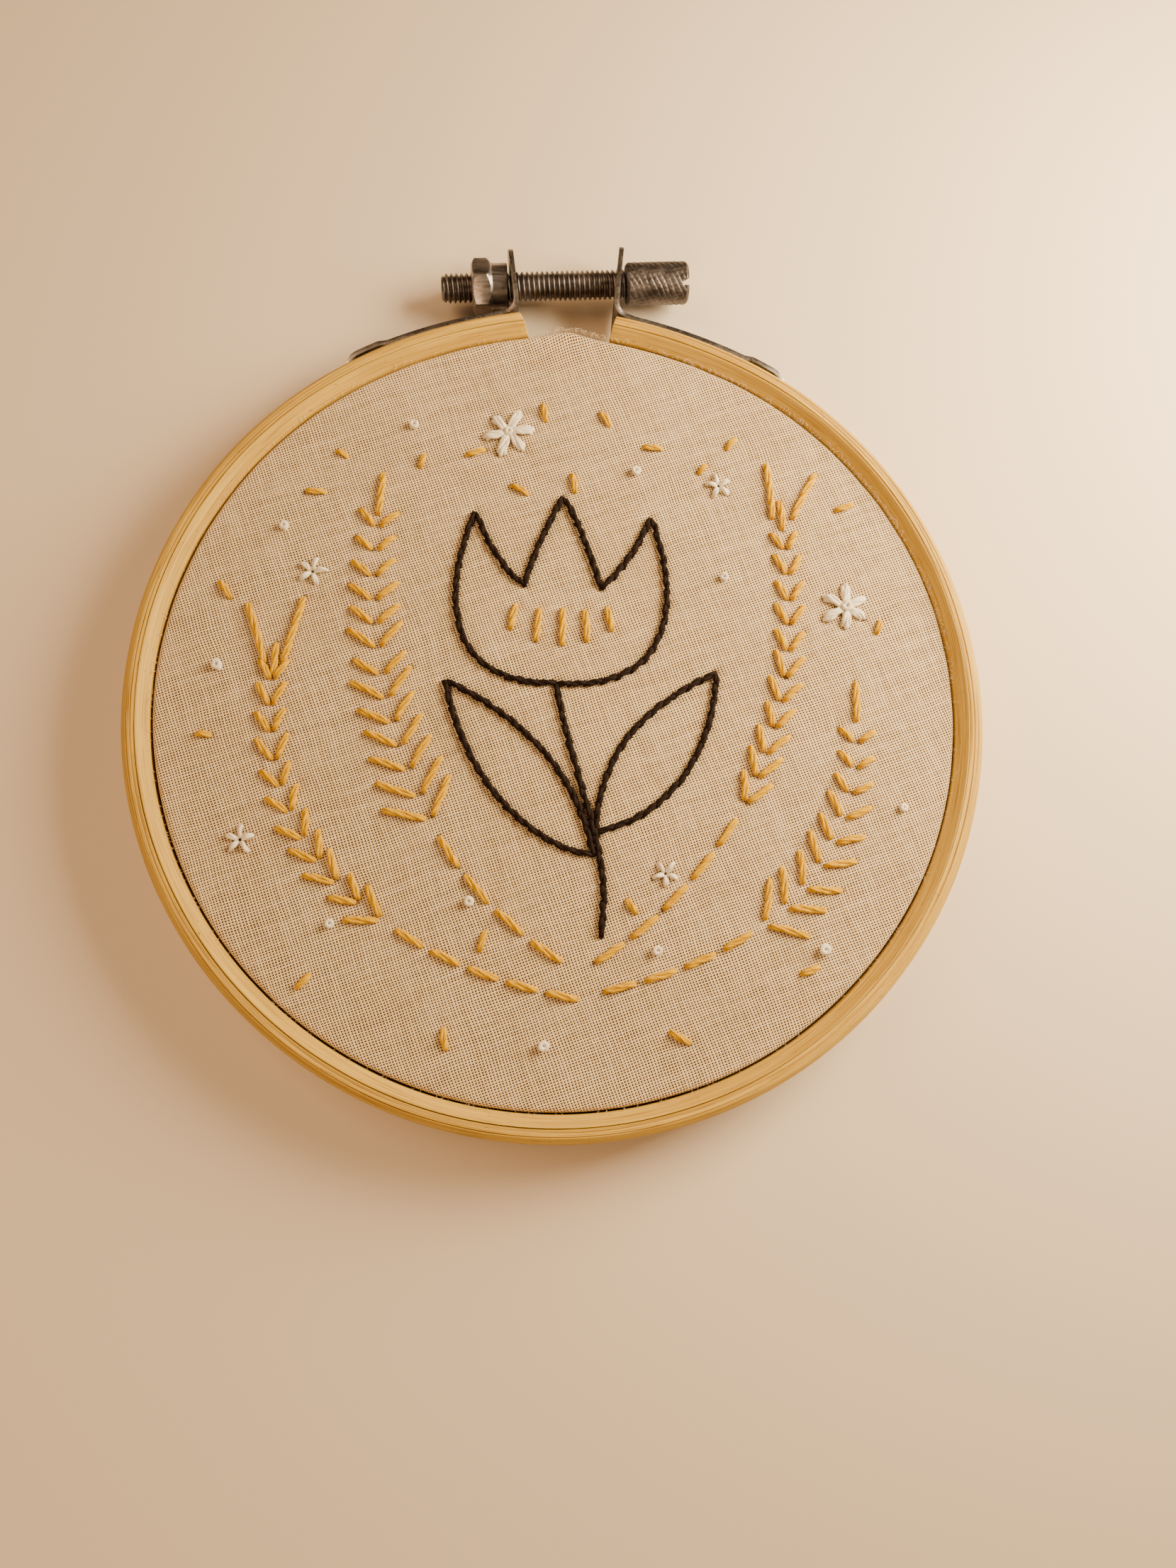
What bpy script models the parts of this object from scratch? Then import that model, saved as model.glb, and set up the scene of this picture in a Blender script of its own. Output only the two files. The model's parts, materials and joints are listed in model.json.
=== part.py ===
"""A hoop with stitched cloth: a split bamboo ring drawn shut by a thumb screw holds the cloth over an inner ring.

The hoop lies on its back on z = 0 with the cloth facing +Z. The screw runs along X at the +Y edge, and the gap
of the split ring is turned a little off +Y, because the two steel ears lean. The origin is the middle of the
hoop's footprint. Sizes are in millimetres and turned into metres by MM.
"""

import math

import bmesh
import bpy
from mathutils import Matrix, Vector

MM = 0.001
GAP = 0.3  # between pieces that touch

# Outer ring
OUTER_R = 54.3
OUTER_WALL = 3.4
RING_HEIGHT = 8.6
TOP_EDGE_R = 1.3
BACK_EDGE_R = 0.7
RING_STEPS = 120
SPLIT_HALF_WIDTH = 6.15  # half of the gap at the middle of the wall
SPLIT_FLARE = math.radians(16)
END_SPRING = 0.9  # how far the sprung strip would stand out at the middle of the gap
SPRING_REACH = math.radians(24)

# Cloth over the inner ring
CLOTH_THICKNESS = 1.0
CLOTH_TOP = 7.4
CLOTH_BEND_R = 1.1
CLOTH_HEM_Z = 1.0
CLOTH_STEPS = 120
BULGE = 0.6
BULGE_HALF_ANGLE = math.radians(5.6)
CROWDING = 0.5  # draws the cloth's columns towards the gap

# Inner ring
INNER_WALL = 3.2
INNER_EDGE_R = 0.8

# Steel brackets
SHEET = 0.65
STRAP_WIDTH = 6.4
EAR_WIDTH = 7.6
EAR_PAST_HOLE = 4.7
EAR_CORNER_R = 3.0
EAR_HOLE_R = 2.4
BEND_REACH = 1.7
STRAP_END = math.radians(32.8)
HOOK_START = math.radians(26.2)
HOOK_CREST = math.radians(27.4)
HOOK_FALL = math.radians(30.6)
HOOK_HEIGHT = 0.35

# Thumb screw, along X, measured from the middle of the split
CLAMP_SKEW = math.radians(4.4)
SCREW_Y = 61.1
SCREW_Z = RING_HEIGHT / 2
ROD_R = 1.95
ROD_LEFT = -17.6
KNOB_LEFT = 8.1
KNOB_RIGHT = 16.8
KNOB_R = 2.85
KNOB_CHAMFER = 0.35
SLOT_WIDTH = 0.9
SLOT_DEPTH = 1.0
SLOT_TURN = math.radians(30)
LEFT_EAR_X = -7.6
LEFT_EAR_LEAN = math.radians(7.5)
RIGHT_EAR_X = 7.0
RIGHT_EAR_LEAN = math.radians(4.4)

# Nut with a round collar
NUT_LEFT = -13.4
HEX_WIDTH = 2.9
HEX_ACROSS_FLATS = 6.7
HEX_TURN = math.radians(39)
HEX_FACE_R = 3.1
COLLAR_R = 3.15
COLLAR_RIGHT = -8.4
NUT_BORE_R = ROD_R + GAP

INNER_WALL_R = OUTER_R - OUTER_WALL
CLOTH_MID_R = INNER_WALL_R - GAP - CLOTH_THICKNESS / 2
CLOTH_MID_Z = CLOTH_TOP - CLOTH_THICKNESS / 2
INNER_R = CLOTH_MID_R - CLOTH_THICKNESS / 2 - GAP
INNER_HEIGHT = CLOTH_TOP - CLOTH_THICKNESS - GAP
STRAP_MID_R = OUTER_R + GAP + SHEET / 2
SCREW_SHIFT = SCREW_Y * math.sin(CLAMP_SKEW)  # from the ring's middle line to the split, along the screw
LEFT_EAR_TILT = LEFT_EAR_LEAN - CLAMP_SKEW  # from the screw's normal plane
FRONT_Y = SCREW_Y * math.cos(CLAMP_SKEW) + EAR_PAST_HOLE * math.cos(LEFT_EAR_TILT)
FRONT_Y += SHEET / 2 * math.sin(LEFT_EAR_TILT)
RING_CENTRE = Vector((0.0, (OUTER_R - FRONT_Y) / 2, 0.0))


def clear_scene():
    for item in list(bpy.data.objects):
        bpy.data.objects.remove(item, do_unlink=True)


def new_collection(name):
    collection = bpy.data.collections.new(name)
    bpy.context.scene.collection.children.link(collection)
    return collection


def new_material(name, colour, roughness, metallic=0.0):
    material = bpy.data.materials.new(name)
    material.use_nodes = True
    shader = material.node_tree.nodes["Principled BSDF"]
    shader.inputs["Base Color"].default_value = (*colour, 1.0)
    shader.inputs["Roughness"].default_value = roughness
    shader.inputs["Metallic"].default_value = metallic
    material.diffuse_color = (*colour, 1.0)
    return material


def add_object(name, mesh, collection, material=None, place=None):
    """Link the mesh as an object that stands at a place given in metres."""
    item = bpy.data.objects.new(name, mesh)
    if place is not None:
        item.matrix_world = place
    if material is not None:
        mesh.materials.append(material)
    collection.objects.link(item)
    return item


def at(vector, turn=0.0, axis="Z"):
    return Matrix.Translation(vector * MM) @ Matrix.Rotation(turn, 4, axis)


def rounded_section(low_r, high_r, low_z, high_z, top_r, back_r, segments=3):
    """A ring's section as a loop that runs down its outer side and up its inner one."""
    corners = (
        (high_r - top_r, high_z - top_r, top_r, 90),
        (high_r - back_r, low_z + back_r, back_r, 0),
        (low_r + back_r, low_z + back_r, back_r, -90),
        (low_r + top_r, high_z - top_r, top_r, -180),
    )
    points = []
    for r, z, radius, start in corners:
        for step in range(segments + 1):
            turn = math.radians(start - 90 * step / segments)
            points.append((r + radius * math.cos(turn), z + radius * math.sin(turn)))
    return points


def turned(name, points, steps, collection, material=None, place=None, closed=True):
    """Turn a profile of (radius, height) points about Z, or about the place's own Z."""
    mesh = bpy.data.meshes.new(name)
    edges = [(i, i + 1) for i in range(len(points) - 1)]
    if closed:
        edges.append((len(points) - 1, 0))
    mesh.from_pydata([(r * MM, 0.0, z * MM) for r, z in points], edges, [])
    item = add_object(name, mesh, collection, material, place)
    screw = item.modifiers.new("Turn", "SCREW")
    screw.steps = steps
    screw.render_steps = steps
    screw.use_merge_vertices = True
    screw.merge_threshold = 0.00001
    screw.use_smooth_shade = True
    return item


def boolean(item, cutter, operation):
    cut = item.modifiers.new(operation.title(), "BOOLEAN")
    cut.object = cutter
    cut.operation = operation
    cut.solver = "EXACT"


def hide_cutter(item):
    item.hide_render = True
    item.display_type = "WIRE"
    return item


def spring(turn):
    """How far the strip stands out of its circle at an angle from the split."""
    return END_SPRING * max(0.0, 1 - abs(turn) / SPRING_REACH) ** 2


def sprung_ring(name, points, steps, collection, material, place):
    """A closed section spun about Z, then drawn outwards near the split."""
    shape = bmesh.new()
    loop = [shape.verts.new((0.0, r, z)) for r, z in points]
    edges = [shape.edges.new(pair) for pair in zip(loop, loop[1:] + loop[:1])]
    bmesh.ops.spin(shape, geom=loop + edges, cent=(0, 0, 0), axis=(0, 0, 1), angle=2 * math.pi, steps=steps)
    bmesh.ops.remove_doubles(shape, verts=shape.verts, dist=0.001)
    for vert in shape.verts:
        turn = math.atan2(vert.co.x, vert.co.y)
        radius = math.hypot(vert.co.x, vert.co.y) + spring(turn)
        vert.co = Vector((radius * math.sin(turn), radius * math.cos(turn), vert.co.z)) * MM
    bmesh.ops.recalc_face_normals(shape, faces=shape.faces)
    mesh = bpy.data.meshes.new(name)
    shape.to_mesh(mesh)
    shape.free()
    mesh.shade_smooth()
    return add_object(name, mesh, collection, material, place)


def wedge(cutters, place):
    """The wedge that parts the ring: a three-sided prism whose point lies inside the ring."""
    point_y = OUTER_R - OUTER_WALL / 2 - SPLIT_HALF_WIDTH / math.tan(SPLIT_FLARE)
    far_y = OUTER_R + 5.0
    far_x = (far_y - point_y) * math.tan(SPLIT_FLARE)
    shape = bmesh.new()
    plan = ((0.0, point_y), (far_x, far_y), (-far_x, far_y))
    face = shape.faces.new([shape.verts.new((x * MM, y * MM, -MM)) for x, y in plan])
    sweep = bmesh.ops.extrude_face_region(shape, geom=[face])
    raised = [v for v in sweep["geom"] if isinstance(v, bmesh.types.BMVert)]
    bmesh.ops.translate(shape, verts=raised, vec=(0.0, 0.0, (RING_HEIGHT + 2.0) * MM))
    bmesh.ops.recalc_face_normals(shape, faces=shape.faces)
    mesh = bpy.data.meshes.new("split_wedge")
    shape.to_mesh(mesh)
    shape.free()
    return hide_cutter(add_object("split_wedge", mesh, cutters, None, place))


def cylinder(name, radius, low, high, cutters, place, segments=40):
    """A plain cylinder along X between two distances from the place."""
    bpy.ops.mesh.primitive_cylinder_add(vertices=segments, radius=radius * MM, depth=(high - low) * MM)
    item = bpy.context.object
    item.name = name
    item.matrix_world = place @ Matrix.Translation(((low + high) / 2 * MM, 0, 0)) @ Matrix.Rotation(
        math.pi / 2, 4, "Y"
    )
    for owner in list(item.users_collection):
        owner.objects.unlink(item)
    cutters.objects.link(item)
    return item


def cloth(collection, material, place):
    """The cloth's middle sheet, spun from its centre over the rim and down the skirt, then thickened."""
    flat = CLOTH_MID_R - CLOTH_BEND_R
    profile = [(flat * share, CLOTH_MID_Z) for share in (0.0, 0.35, 0.68, 0.9, 1.0)]
    for step in (1, 2, 3):
        turn = math.radians(30 * step)
        r = flat + CLOTH_BEND_R * math.sin(turn)
        profile.append((r, CLOTH_MID_Z - CLOTH_BEND_R * (1 - math.cos(turn))))
    profile.append((CLOTH_MID_R, (CLOTH_MID_Z + CLOTH_HEM_Z) / 2))
    profile.append((CLOTH_MID_R, CLOTH_HEM_Z))
    shape = bmesh.new()
    line = [shape.verts.new((0.0, r, z)) for r, z in profile]
    edges = [shape.edges.new(pair) for pair in zip(line, line[1:])]
    bmesh.ops.spin(
        shape, geom=line + edges, cent=(0, 0, 0), axis=(0, 0, 1), angle=2 * math.pi, steps=CLOTH_STEPS
    )
    bmesh.ops.remove_doubles(shape, verts=shape.verts, dist=0.001)
    for vert in shape.verts:
        radius = math.hypot(vert.co.x, vert.co.y)
        turn = math.atan2(vert.co.x, vert.co.y)
        turn -= CROWDING * math.sin(turn)
        rim = min(1.0, max(0.0, (radius - 0.9 * flat) / (CLOTH_MID_R - 0.9 * flat)))
        drop = min(1.0, max(0.0, (vert.co.z - CLOTH_HEM_Z) / (CLOTH_MID_Z - CLOTH_HEM_Z)))
        swell = spring(turn)
        if abs(turn) < BULGE_HALF_ANGLE:
            swell += BULGE * math.cos(math.pi / 2 * turn / BULGE_HALF_ANGLE) ** 2
        radius += swell * rim**2 * (0.35 + 0.65 * drop)
        vert.co.x = radius * math.sin(turn) * MM
        vert.co.y = radius * math.cos(turn) * MM
        vert.co.z *= MM
    bmesh.ops.recalc_face_normals(shape, faces=shape.faces)
    mesh = bpy.data.meshes.new("cloth")
    shape.to_mesh(mesh)
    shape.free()
    mesh.shade_smooth()
    item = add_object("cloth", mesh, collection, material, place)
    thick = item.modifiers.new("Thickness", "SOLIDIFY")
    thick.thickness = CLOTH_THICKNESS * MM
    thick.offset = 0.0
    thick.use_even_offset = True
    return item


def ease(share):
    share = min(1.0, max(0.0, share))
    return share * share * (3 - 2 * share)


def ear_hole(ear_x):
    """Where the screw's line crosses an ear, in the ring's own plan."""
    return Vector((ear_x, SCREW_Y + ear_x * math.tan(CLAMP_SKEW)))


def bracket_path(side, ear_x, lean):
    """The bracket's middle line seen from above, as (point, half width) from the ear's tip to the hook."""
    hole = ear_hole(ear_x)
    out = Vector((side * math.sin(lean), math.cos(lean)))
    tip = hole + out * EAR_PAST_HOLE
    # where the ear's line, followed inwards, meets the strap's circle
    corner_r = STRAP_MID_R + spring(math.atan2(abs(hole.x), hole.y))
    along = hole.dot(out)
    reach = along - math.sqrt(along**2 - (hole.length_squared - corner_r**2))
    corner = hole - out * reach
    corner_turn = math.atan2(abs(corner.x), corner.y)
    ear_half = EAR_WIDTH / 2
    strap_half = STRAP_WIDTH / 2
    path = []
    for share in (0.0, 0.04, 0.13, 0.29, 0.55, 1.0):
        down = EAR_CORNER_R * share
        width = ear_half - EAR_CORNER_R + math.sqrt(EAR_CORNER_R**2 - (EAR_CORNER_R - down) ** 2)
        path.append((tip - out * down, width))
    bend_start = corner + out * BEND_REACH
    strap_start = corner_turn + BEND_REACH / STRAP_MID_R
    bend_end = Vector((side * math.sin(strap_start), math.cos(strap_start))) * (STRAP_MID_R + spring(strap_start))
    for step in range(7):
        t = step / 6
        bend = bend_start * (1 - t) ** 2 + corner * 2 * t * (1 - t) + bend_end * t * t
        path.append((bend, ear_half + (strap_half - ear_half) * ease(t)))
    count = 40
    for step in range(1, count + 1):
        turn = strap_start + (STRAP_END - strap_start) * step / count
        lift = ease((turn - HOOK_START) / (HOOK_CREST - HOOK_START))
        lift -= ease((turn - HOOK_FALL) / (STRAP_END - HOOK_FALL))
        radius = STRAP_MID_R + spring(turn) + HOOK_HEIGHT * lift
        path.append((Vector((side * math.sin(turn), math.cos(turn))) * radius, strap_half))
    return path


def bracket(name, side, ear_x, lean, collection, cutters, material, place):
    """A sheet-steel strap along the ring's outside, bent out at the split into an ear with a hole."""
    path = bracket_path(side, ear_x, lean)
    shape = bmesh.new()
    rails = [
        [shape.verts.new((p.x * MM, p.y * MM, (SCREW_Z + level * width) * MM)) for p, width in path]
        for level in (-1, 1)
    ]
    for low_a, low_b, high_a, high_b in zip(rails[0], rails[0][1:], rails[1], rails[1][1:]):
        shape.faces.new((low_a, low_b, high_b, high_a))
    mesh = bpy.data.meshes.new(name)
    shape.to_mesh(mesh)
    shape.free()
    item = add_object(name, mesh, collection, material, place)
    thick = item.modifiers.new("Sheet", "SOLIDIFY")
    thick.thickness = SHEET * MM
    thick.offset = 0.0
    thick.use_even_offset = True
    spot = place @ Matrix.Translation(Vector((*ear_hole(ear_x), SCREW_Z)) * MM)
    spot = spot @ Matrix.Rotation(-side * lean, 4, "Z")
    hole = hide_cutter(cylinder(name + "_hole", EAR_HOLE_R, -2.0, 2.0, cutters, spot, 32))
    boolean(item, hole, "DIFFERENCE")
    return item


def thumb_screw(collection, cutters, material, place):
    """The rod and its knob as one turned piece, with a slot across the knob's end."""
    profile = [
        (0.0, KNOB_RIGHT),
        (KNOB_R - KNOB_CHAMFER, KNOB_RIGHT),
        (KNOB_R, KNOB_RIGHT - KNOB_CHAMFER),
        (KNOB_R, KNOB_LEFT + KNOB_CHAMFER),
        (KNOB_R - KNOB_CHAMFER, KNOB_LEFT),
        (ROD_R, KNOB_LEFT),
        (ROD_R, ROD_LEFT + KNOB_CHAMFER),
        (ROD_R - KNOB_CHAMFER, ROD_LEFT),
        (0.0, ROD_LEFT),
    ]
    item = turned(
        "thumb_screw", profile, 40, collection, material, place @ Matrix.Rotation(math.pi / 2, 4, "Y"), False
    )
    bpy.ops.mesh.primitive_cube_add(size=1.0)
    slot = bpy.context.object
    slot.name = "knob_slot"
    for corner in slot.data.vertices:
        corner.co = Vector((corner.co.x * 2 * SLOT_DEPTH, corner.co.y * SLOT_WIDTH, corner.co.z * 3 * KNOB_R)) * MM
    slot.matrix_world = place @ Matrix.Translation((KNOB_RIGHT * MM, 0, 0)) @ Matrix.Rotation(SLOT_TURN, 4, "X")
    for owner in list(slot.users_collection):
        owner.objects.unlink(slot)
    cutters.objects.link(hide_cutter(slot))
    boolean(item, slot, "DIFFERENCE")
    return item


def nut(collection, cutters, material, place):
    """A hexagon with rounded-off corners towards its round collar, and a plain bore."""
    hex_right = NUT_LEFT + HEX_WIDTH
    corner_r = HEX_ACROSS_FLATS / math.sqrt(3)
    item = cylinder("nut", corner_r, NUT_LEFT, hex_right, collection, place @ Matrix.Rotation(HEX_TURN, 4, "X"), 6)
    item.data.materials.append(material)
    along = place @ Matrix.Rotation(math.pi / 2, 4, "Y")
    envelope = [
        (0.0, hex_right + 0.4),
        (COLLAR_R - 0.45, hex_right + 0.4),
        (corner_r + 0.1, hex_right - 0.85),
        (corner_r + 0.1, NUT_LEFT + 0.55),
        (HEX_FACE_R, NUT_LEFT),
        (HEX_FACE_R - 0.7, NUT_LEFT - 0.4),
        (0.0, NUT_LEFT - 0.4),
    ]
    boolean(item, hide_cutter(turned("nut_chamfer", envelope, 48, cutters, None, along, False)), "INTERSECT")
    collar = [
        (0.0, COLLAR_RIGHT),
        (COLLAR_R - 0.15, COLLAR_RIGHT),
        (COLLAR_R, COLLAR_RIGHT - 0.15),
        (COLLAR_R, hex_right - 0.6),
        (0.0, hex_right - 0.6),
    ]
    boolean(item, hide_cutter(turned("nut_collar", collar, 40, cutters, None, along, False)), "UNION")
    bore = hide_cutter(cylinder("nut_bore", NUT_BORE_R, NUT_LEFT - 1, COLLAR_RIGHT + 1, cutters, place, 32))
    boolean(item, bore, "DIFFERENCE")
    return item


def main():
    clear_scene()
    parts = new_collection("hoop_with_stitched_cloth")
    cutters = new_collection("cutters")
    bamboo = new_material("bamboo", (0.62, 0.40, 0.19), 0.5)
    inner_bamboo = new_material("inner_bamboo", (0.68, 0.48, 0.26), 0.55)
    linen = new_material("linen", (0.86, 0.80, 0.68), 0.9)
    steel_left = new_material("steel_left", (0.55, 0.54, 0.52), 0.35, 1.0)
    steel_right = new_material("steel_right", (0.55, 0.54, 0.52), 0.35, 1.0)
    screw_steel = new_material("screw_steel", (0.60, 0.59, 0.57), 0.3, 1.0)
    nut_steel = new_material("nut_steel", (0.62, 0.61, 0.59), 0.3, 1.0)

    ring_place = at(RING_CENTRE, -CLAMP_SKEW)
    middle = RING_CENTRE + Vector((SCREW_SHIFT, SCREW_Y * math.cos(CLAMP_SKEW), SCREW_Z))
    screw_place = Matrix.Translation(middle * MM)

    section = rounded_section(INNER_WALL_R, OUTER_R, 0.0, RING_HEIGHT, TOP_EDGE_R, BACK_EDGE_R)
    outer = sprung_ring("outer_ring", section, RING_STEPS, parts, bamboo, ring_place)
    boolean(outer, wedge(cutters, ring_place), "DIFFERENCE")
    turned(
        "inner_ring",
        rounded_section(INNER_R - INNER_WALL, INNER_R, 0.0, INNER_HEIGHT, INNER_EDGE_R, INNER_EDGE_R, 2),
        96,
        parts,
        inner_bamboo,
        ring_place,
    )
    cloth(parts, linen, ring_place)
    bracket("bracket_left", -1, LEFT_EAR_X, LEFT_EAR_LEAN, parts, cutters, steel_left, ring_place)
    bracket("bracket_right", 1, RIGHT_EAR_X, RIGHT_EAR_LEAN, parts, cutters, steel_right, ring_place)
    thumb_screw(parts, cutters, screw_steel, screw_place)
    nut(parts, cutters, nut_steel, screw_place)


main()
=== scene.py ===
"""A small bamboo hoop with stitched cloth, lying on its back on a pale table under soft warm light.

Lengths inside the pieces are millimetres and become metres in their meshes. The hoop's own plan has its centre at
(0, 0) and the split of the ring at +Y. It is turned a few degrees in the frame, where the screw lies along X.
"""

import json
import math

import bmesh
import bpy
import numpy as np
from mathutils import Matrix, Vector


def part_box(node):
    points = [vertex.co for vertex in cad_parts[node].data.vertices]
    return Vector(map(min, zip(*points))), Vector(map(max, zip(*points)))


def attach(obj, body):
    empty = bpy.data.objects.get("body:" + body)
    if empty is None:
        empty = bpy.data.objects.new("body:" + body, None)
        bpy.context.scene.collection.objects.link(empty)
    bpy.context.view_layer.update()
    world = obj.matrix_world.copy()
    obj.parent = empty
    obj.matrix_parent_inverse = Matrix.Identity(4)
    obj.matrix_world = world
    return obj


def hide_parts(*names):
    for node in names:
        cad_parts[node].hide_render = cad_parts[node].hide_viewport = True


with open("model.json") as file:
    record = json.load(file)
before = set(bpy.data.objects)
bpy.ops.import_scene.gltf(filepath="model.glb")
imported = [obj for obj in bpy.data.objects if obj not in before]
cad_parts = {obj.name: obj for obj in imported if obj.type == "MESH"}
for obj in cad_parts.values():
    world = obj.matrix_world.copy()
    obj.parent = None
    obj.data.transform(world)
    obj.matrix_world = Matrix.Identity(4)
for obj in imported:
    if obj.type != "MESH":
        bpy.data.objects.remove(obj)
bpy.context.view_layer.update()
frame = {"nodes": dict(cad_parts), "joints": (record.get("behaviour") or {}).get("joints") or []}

# The hoop's place. The outer ring's box gives its centre and size, and the screw's joint gives the line that the
# clamp stands on. The split strip springs outwards towards its two ends, and what touches it follows.
MM = 0.001
ring_low, ring_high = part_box("outer_ring")
RING_R = (ring_high[0] - ring_low[0]) / 2 / MM
RING_TOP = ring_high[2] / MM
RING_CENTRE = Vector((0, ring_low[1] / MM + RING_R, 0))
HOOP_TURN = math.radians(-4.4)
SPRING_OUT = 0.9
SPRING_REACH = math.radians(24)
hoop_matrix = Matrix.Translation(RING_CENTRE * MM) @ Matrix.Rotation(HOOP_TURN, 4, "Z")


def hoop_to_frame(points):
    """Turn points of the hoop's plan, in millimetres, into frame points in metres."""
    turn = np.array(hoop_matrix.to_3x3())
    return np.asarray(points, float) @ turn.T * MM + np.array(RING_CENTRE) * MM


def spring(angle):
    """How far the strip stands out of its circle: a square law that fades to nothing away from the split."""
    from_split = np.abs((np.asarray(angle) + math.pi) % (2 * math.pi) - math.pi)
    return SPRING_OUT * np.clip(1 - from_split / SPRING_REACH, 0, 1) ** 2


# The table, the light and the camera. A low lamp with a wide shade stands close by on the right, so that the light
# falls off to the left. The room and a window in front fill the shadows, and the camera looks down from above.
TABLE_SIDE = 4.0
CAMERA_PLACE = (-6.34, -48.33, 152.13)
CAMERA_TURN = (12.43, -2.89, -3.52)


def new_node_material(name, **values):
    """A material with its tree and its shader, whose named inputs are set; _ in a name stands for a space."""
    material = bpy.data.materials.new(name)
    material.use_nodes = True
    shader = material.node_tree.nodes["Principled BSDF"]
    for key, value in values.items():
        shader.inputs[key.replace("_", " ")].default_value = value
    return material, material.node_tree, shader


def area_light(name, place, aim, side, power, colour):
    """A square lamp that faces a point, both in millimetres."""
    light = bpy.data.lights.new(name, "AREA")
    light.size = side * MM
    light.energy = power
    light.color = colour
    item = bpy.data.objects.new(name, light)
    item.location = Vector(place) * MM
    item.rotation_euler = (Vector(place) - Vector(aim)).to_track_quat("Z", "Y").to_euler()
    bpy.context.scene.collection.objects.link(item)


camera = bpy.data.objects.new("camera", bpy.data.cameras.new("camera"))
camera.data.lens = 27.34
camera.data.sensor_width = 36.0
camera.data.clip_start = 0.005
camera.location = [value * MM for value in CAMERA_PLACE]
camera.rotation_euler = [math.radians(value) for value in CAMERA_TURN]
bpy.context.scene.collection.objects.link(camera)
bpy.context.scene.camera = camera

half = TABLE_SIDE / 2
table_mesh = bpy.data.meshes.new("table")
table_corners = [(-half, -half, 0), (half, -half, 0), (half, half, 0), (-half, half, 0)]
table_mesh.from_pydata(table_corners, [], [(0, 1, 2, 3)])
table = bpy.data.objects.new("table", table_mesh)
bpy.context.scene.collection.objects.link(table)
table_paint, _, _ = new_node_material(
    "table_paint", Base_Color=(0.80, 0.70, 0.60, 1), Roughness=0.7, Specular_IOR_Level=0.2
)
table_mesh.materials.append(table_paint)

area_light("shaded_lamp", (148, 48, 98), (10, 10, 0), 112, 1.10, (1.0, 0.77, 0.46))
area_light("front_window", (-110, -300, 300), (0, 20, 0), 110, 0.62, (1.0, 0.62, 0.30))
area_light("room", (-260, 160, 420), (0, 20, 0), 320, 1.35, (1.0, 0.60, 0.28))
world = bpy.data.worlds.new("studio")
world.use_nodes = True
world.node_tree.nodes["Background"].inputs["Color"].default_value = (1.0, 0.62, 0.34, 1)
world.node_tree.nodes["Background"].inputs["Strength"].default_value = 0.15
bpy.context.scene.world = world


# The outer ring: one strip of bamboo bent round and left open at the clamp. Its outer edge is sanded round, its
# inner edge has a small bevel, and its outer wall keeps the fine furrows of the plane. Its ends are cut a little
# askew, and the grain runs along it.
RING_WALL = 3.4
TOP_EDGE_R = 1.3
BACK_EDGE_R = 0.7
BEVEL = 1.3
BEVEL_EASE = 0.13
FLAT_HOLD = 0.07
TOP_FURROWS = (1.85, 1.4, 0.9)
TOP_FURROW_HALF = 0.11
TOP_FURROW_DEPTH = 0.14
SIDE_FURROWS = (5.9, 4.3, 2.6)
SIDE_FURROW_HALF = 0.13
SIDE_FURROW_DEPTH = 0.08
SPLIT_HALF_WIDTH = 6.15
SPLIT_SLANTS = (math.tan(math.radians(16)), math.tan(math.radians(24)))
END_EDGE = 0.16
OUTER_STEPS = 350
END_ROWS = (0, 0.06, 0.25, 0.6, 1)
RING_MID_R = RING_R - RING_WALL / 2


def arc(r, z, radius, start, steps):
    """A quarter circle of section points, run clockwise from a start angle in degrees."""
    angle = np.radians(np.linspace(start, start - 90, steps))
    return np.stack([r + radius * np.cos(angle), z + radius * np.sin(angle)], 1)


def eased_corner(corner, before, after, reach, steps=4):
    """A section's corner rounded as a quadratic curve between two points at the same reach from it.

    One more point just beyond each end keeps the flat faces flat.
    """
    corner, before, after = (np.array(value, float) for value in (corner, before, after))
    start = corner + before * reach
    end = corner + after * reach
    t = np.linspace(0, 1, steps)[:, None]
    curve = start * (1 - t) ** 2 + corner * 2 * t * (1 - t) + end * t**2
    return np.concatenate([[start + before * FLAT_HOLD], curve, [end + after * FLAT_HOLD]])


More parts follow.
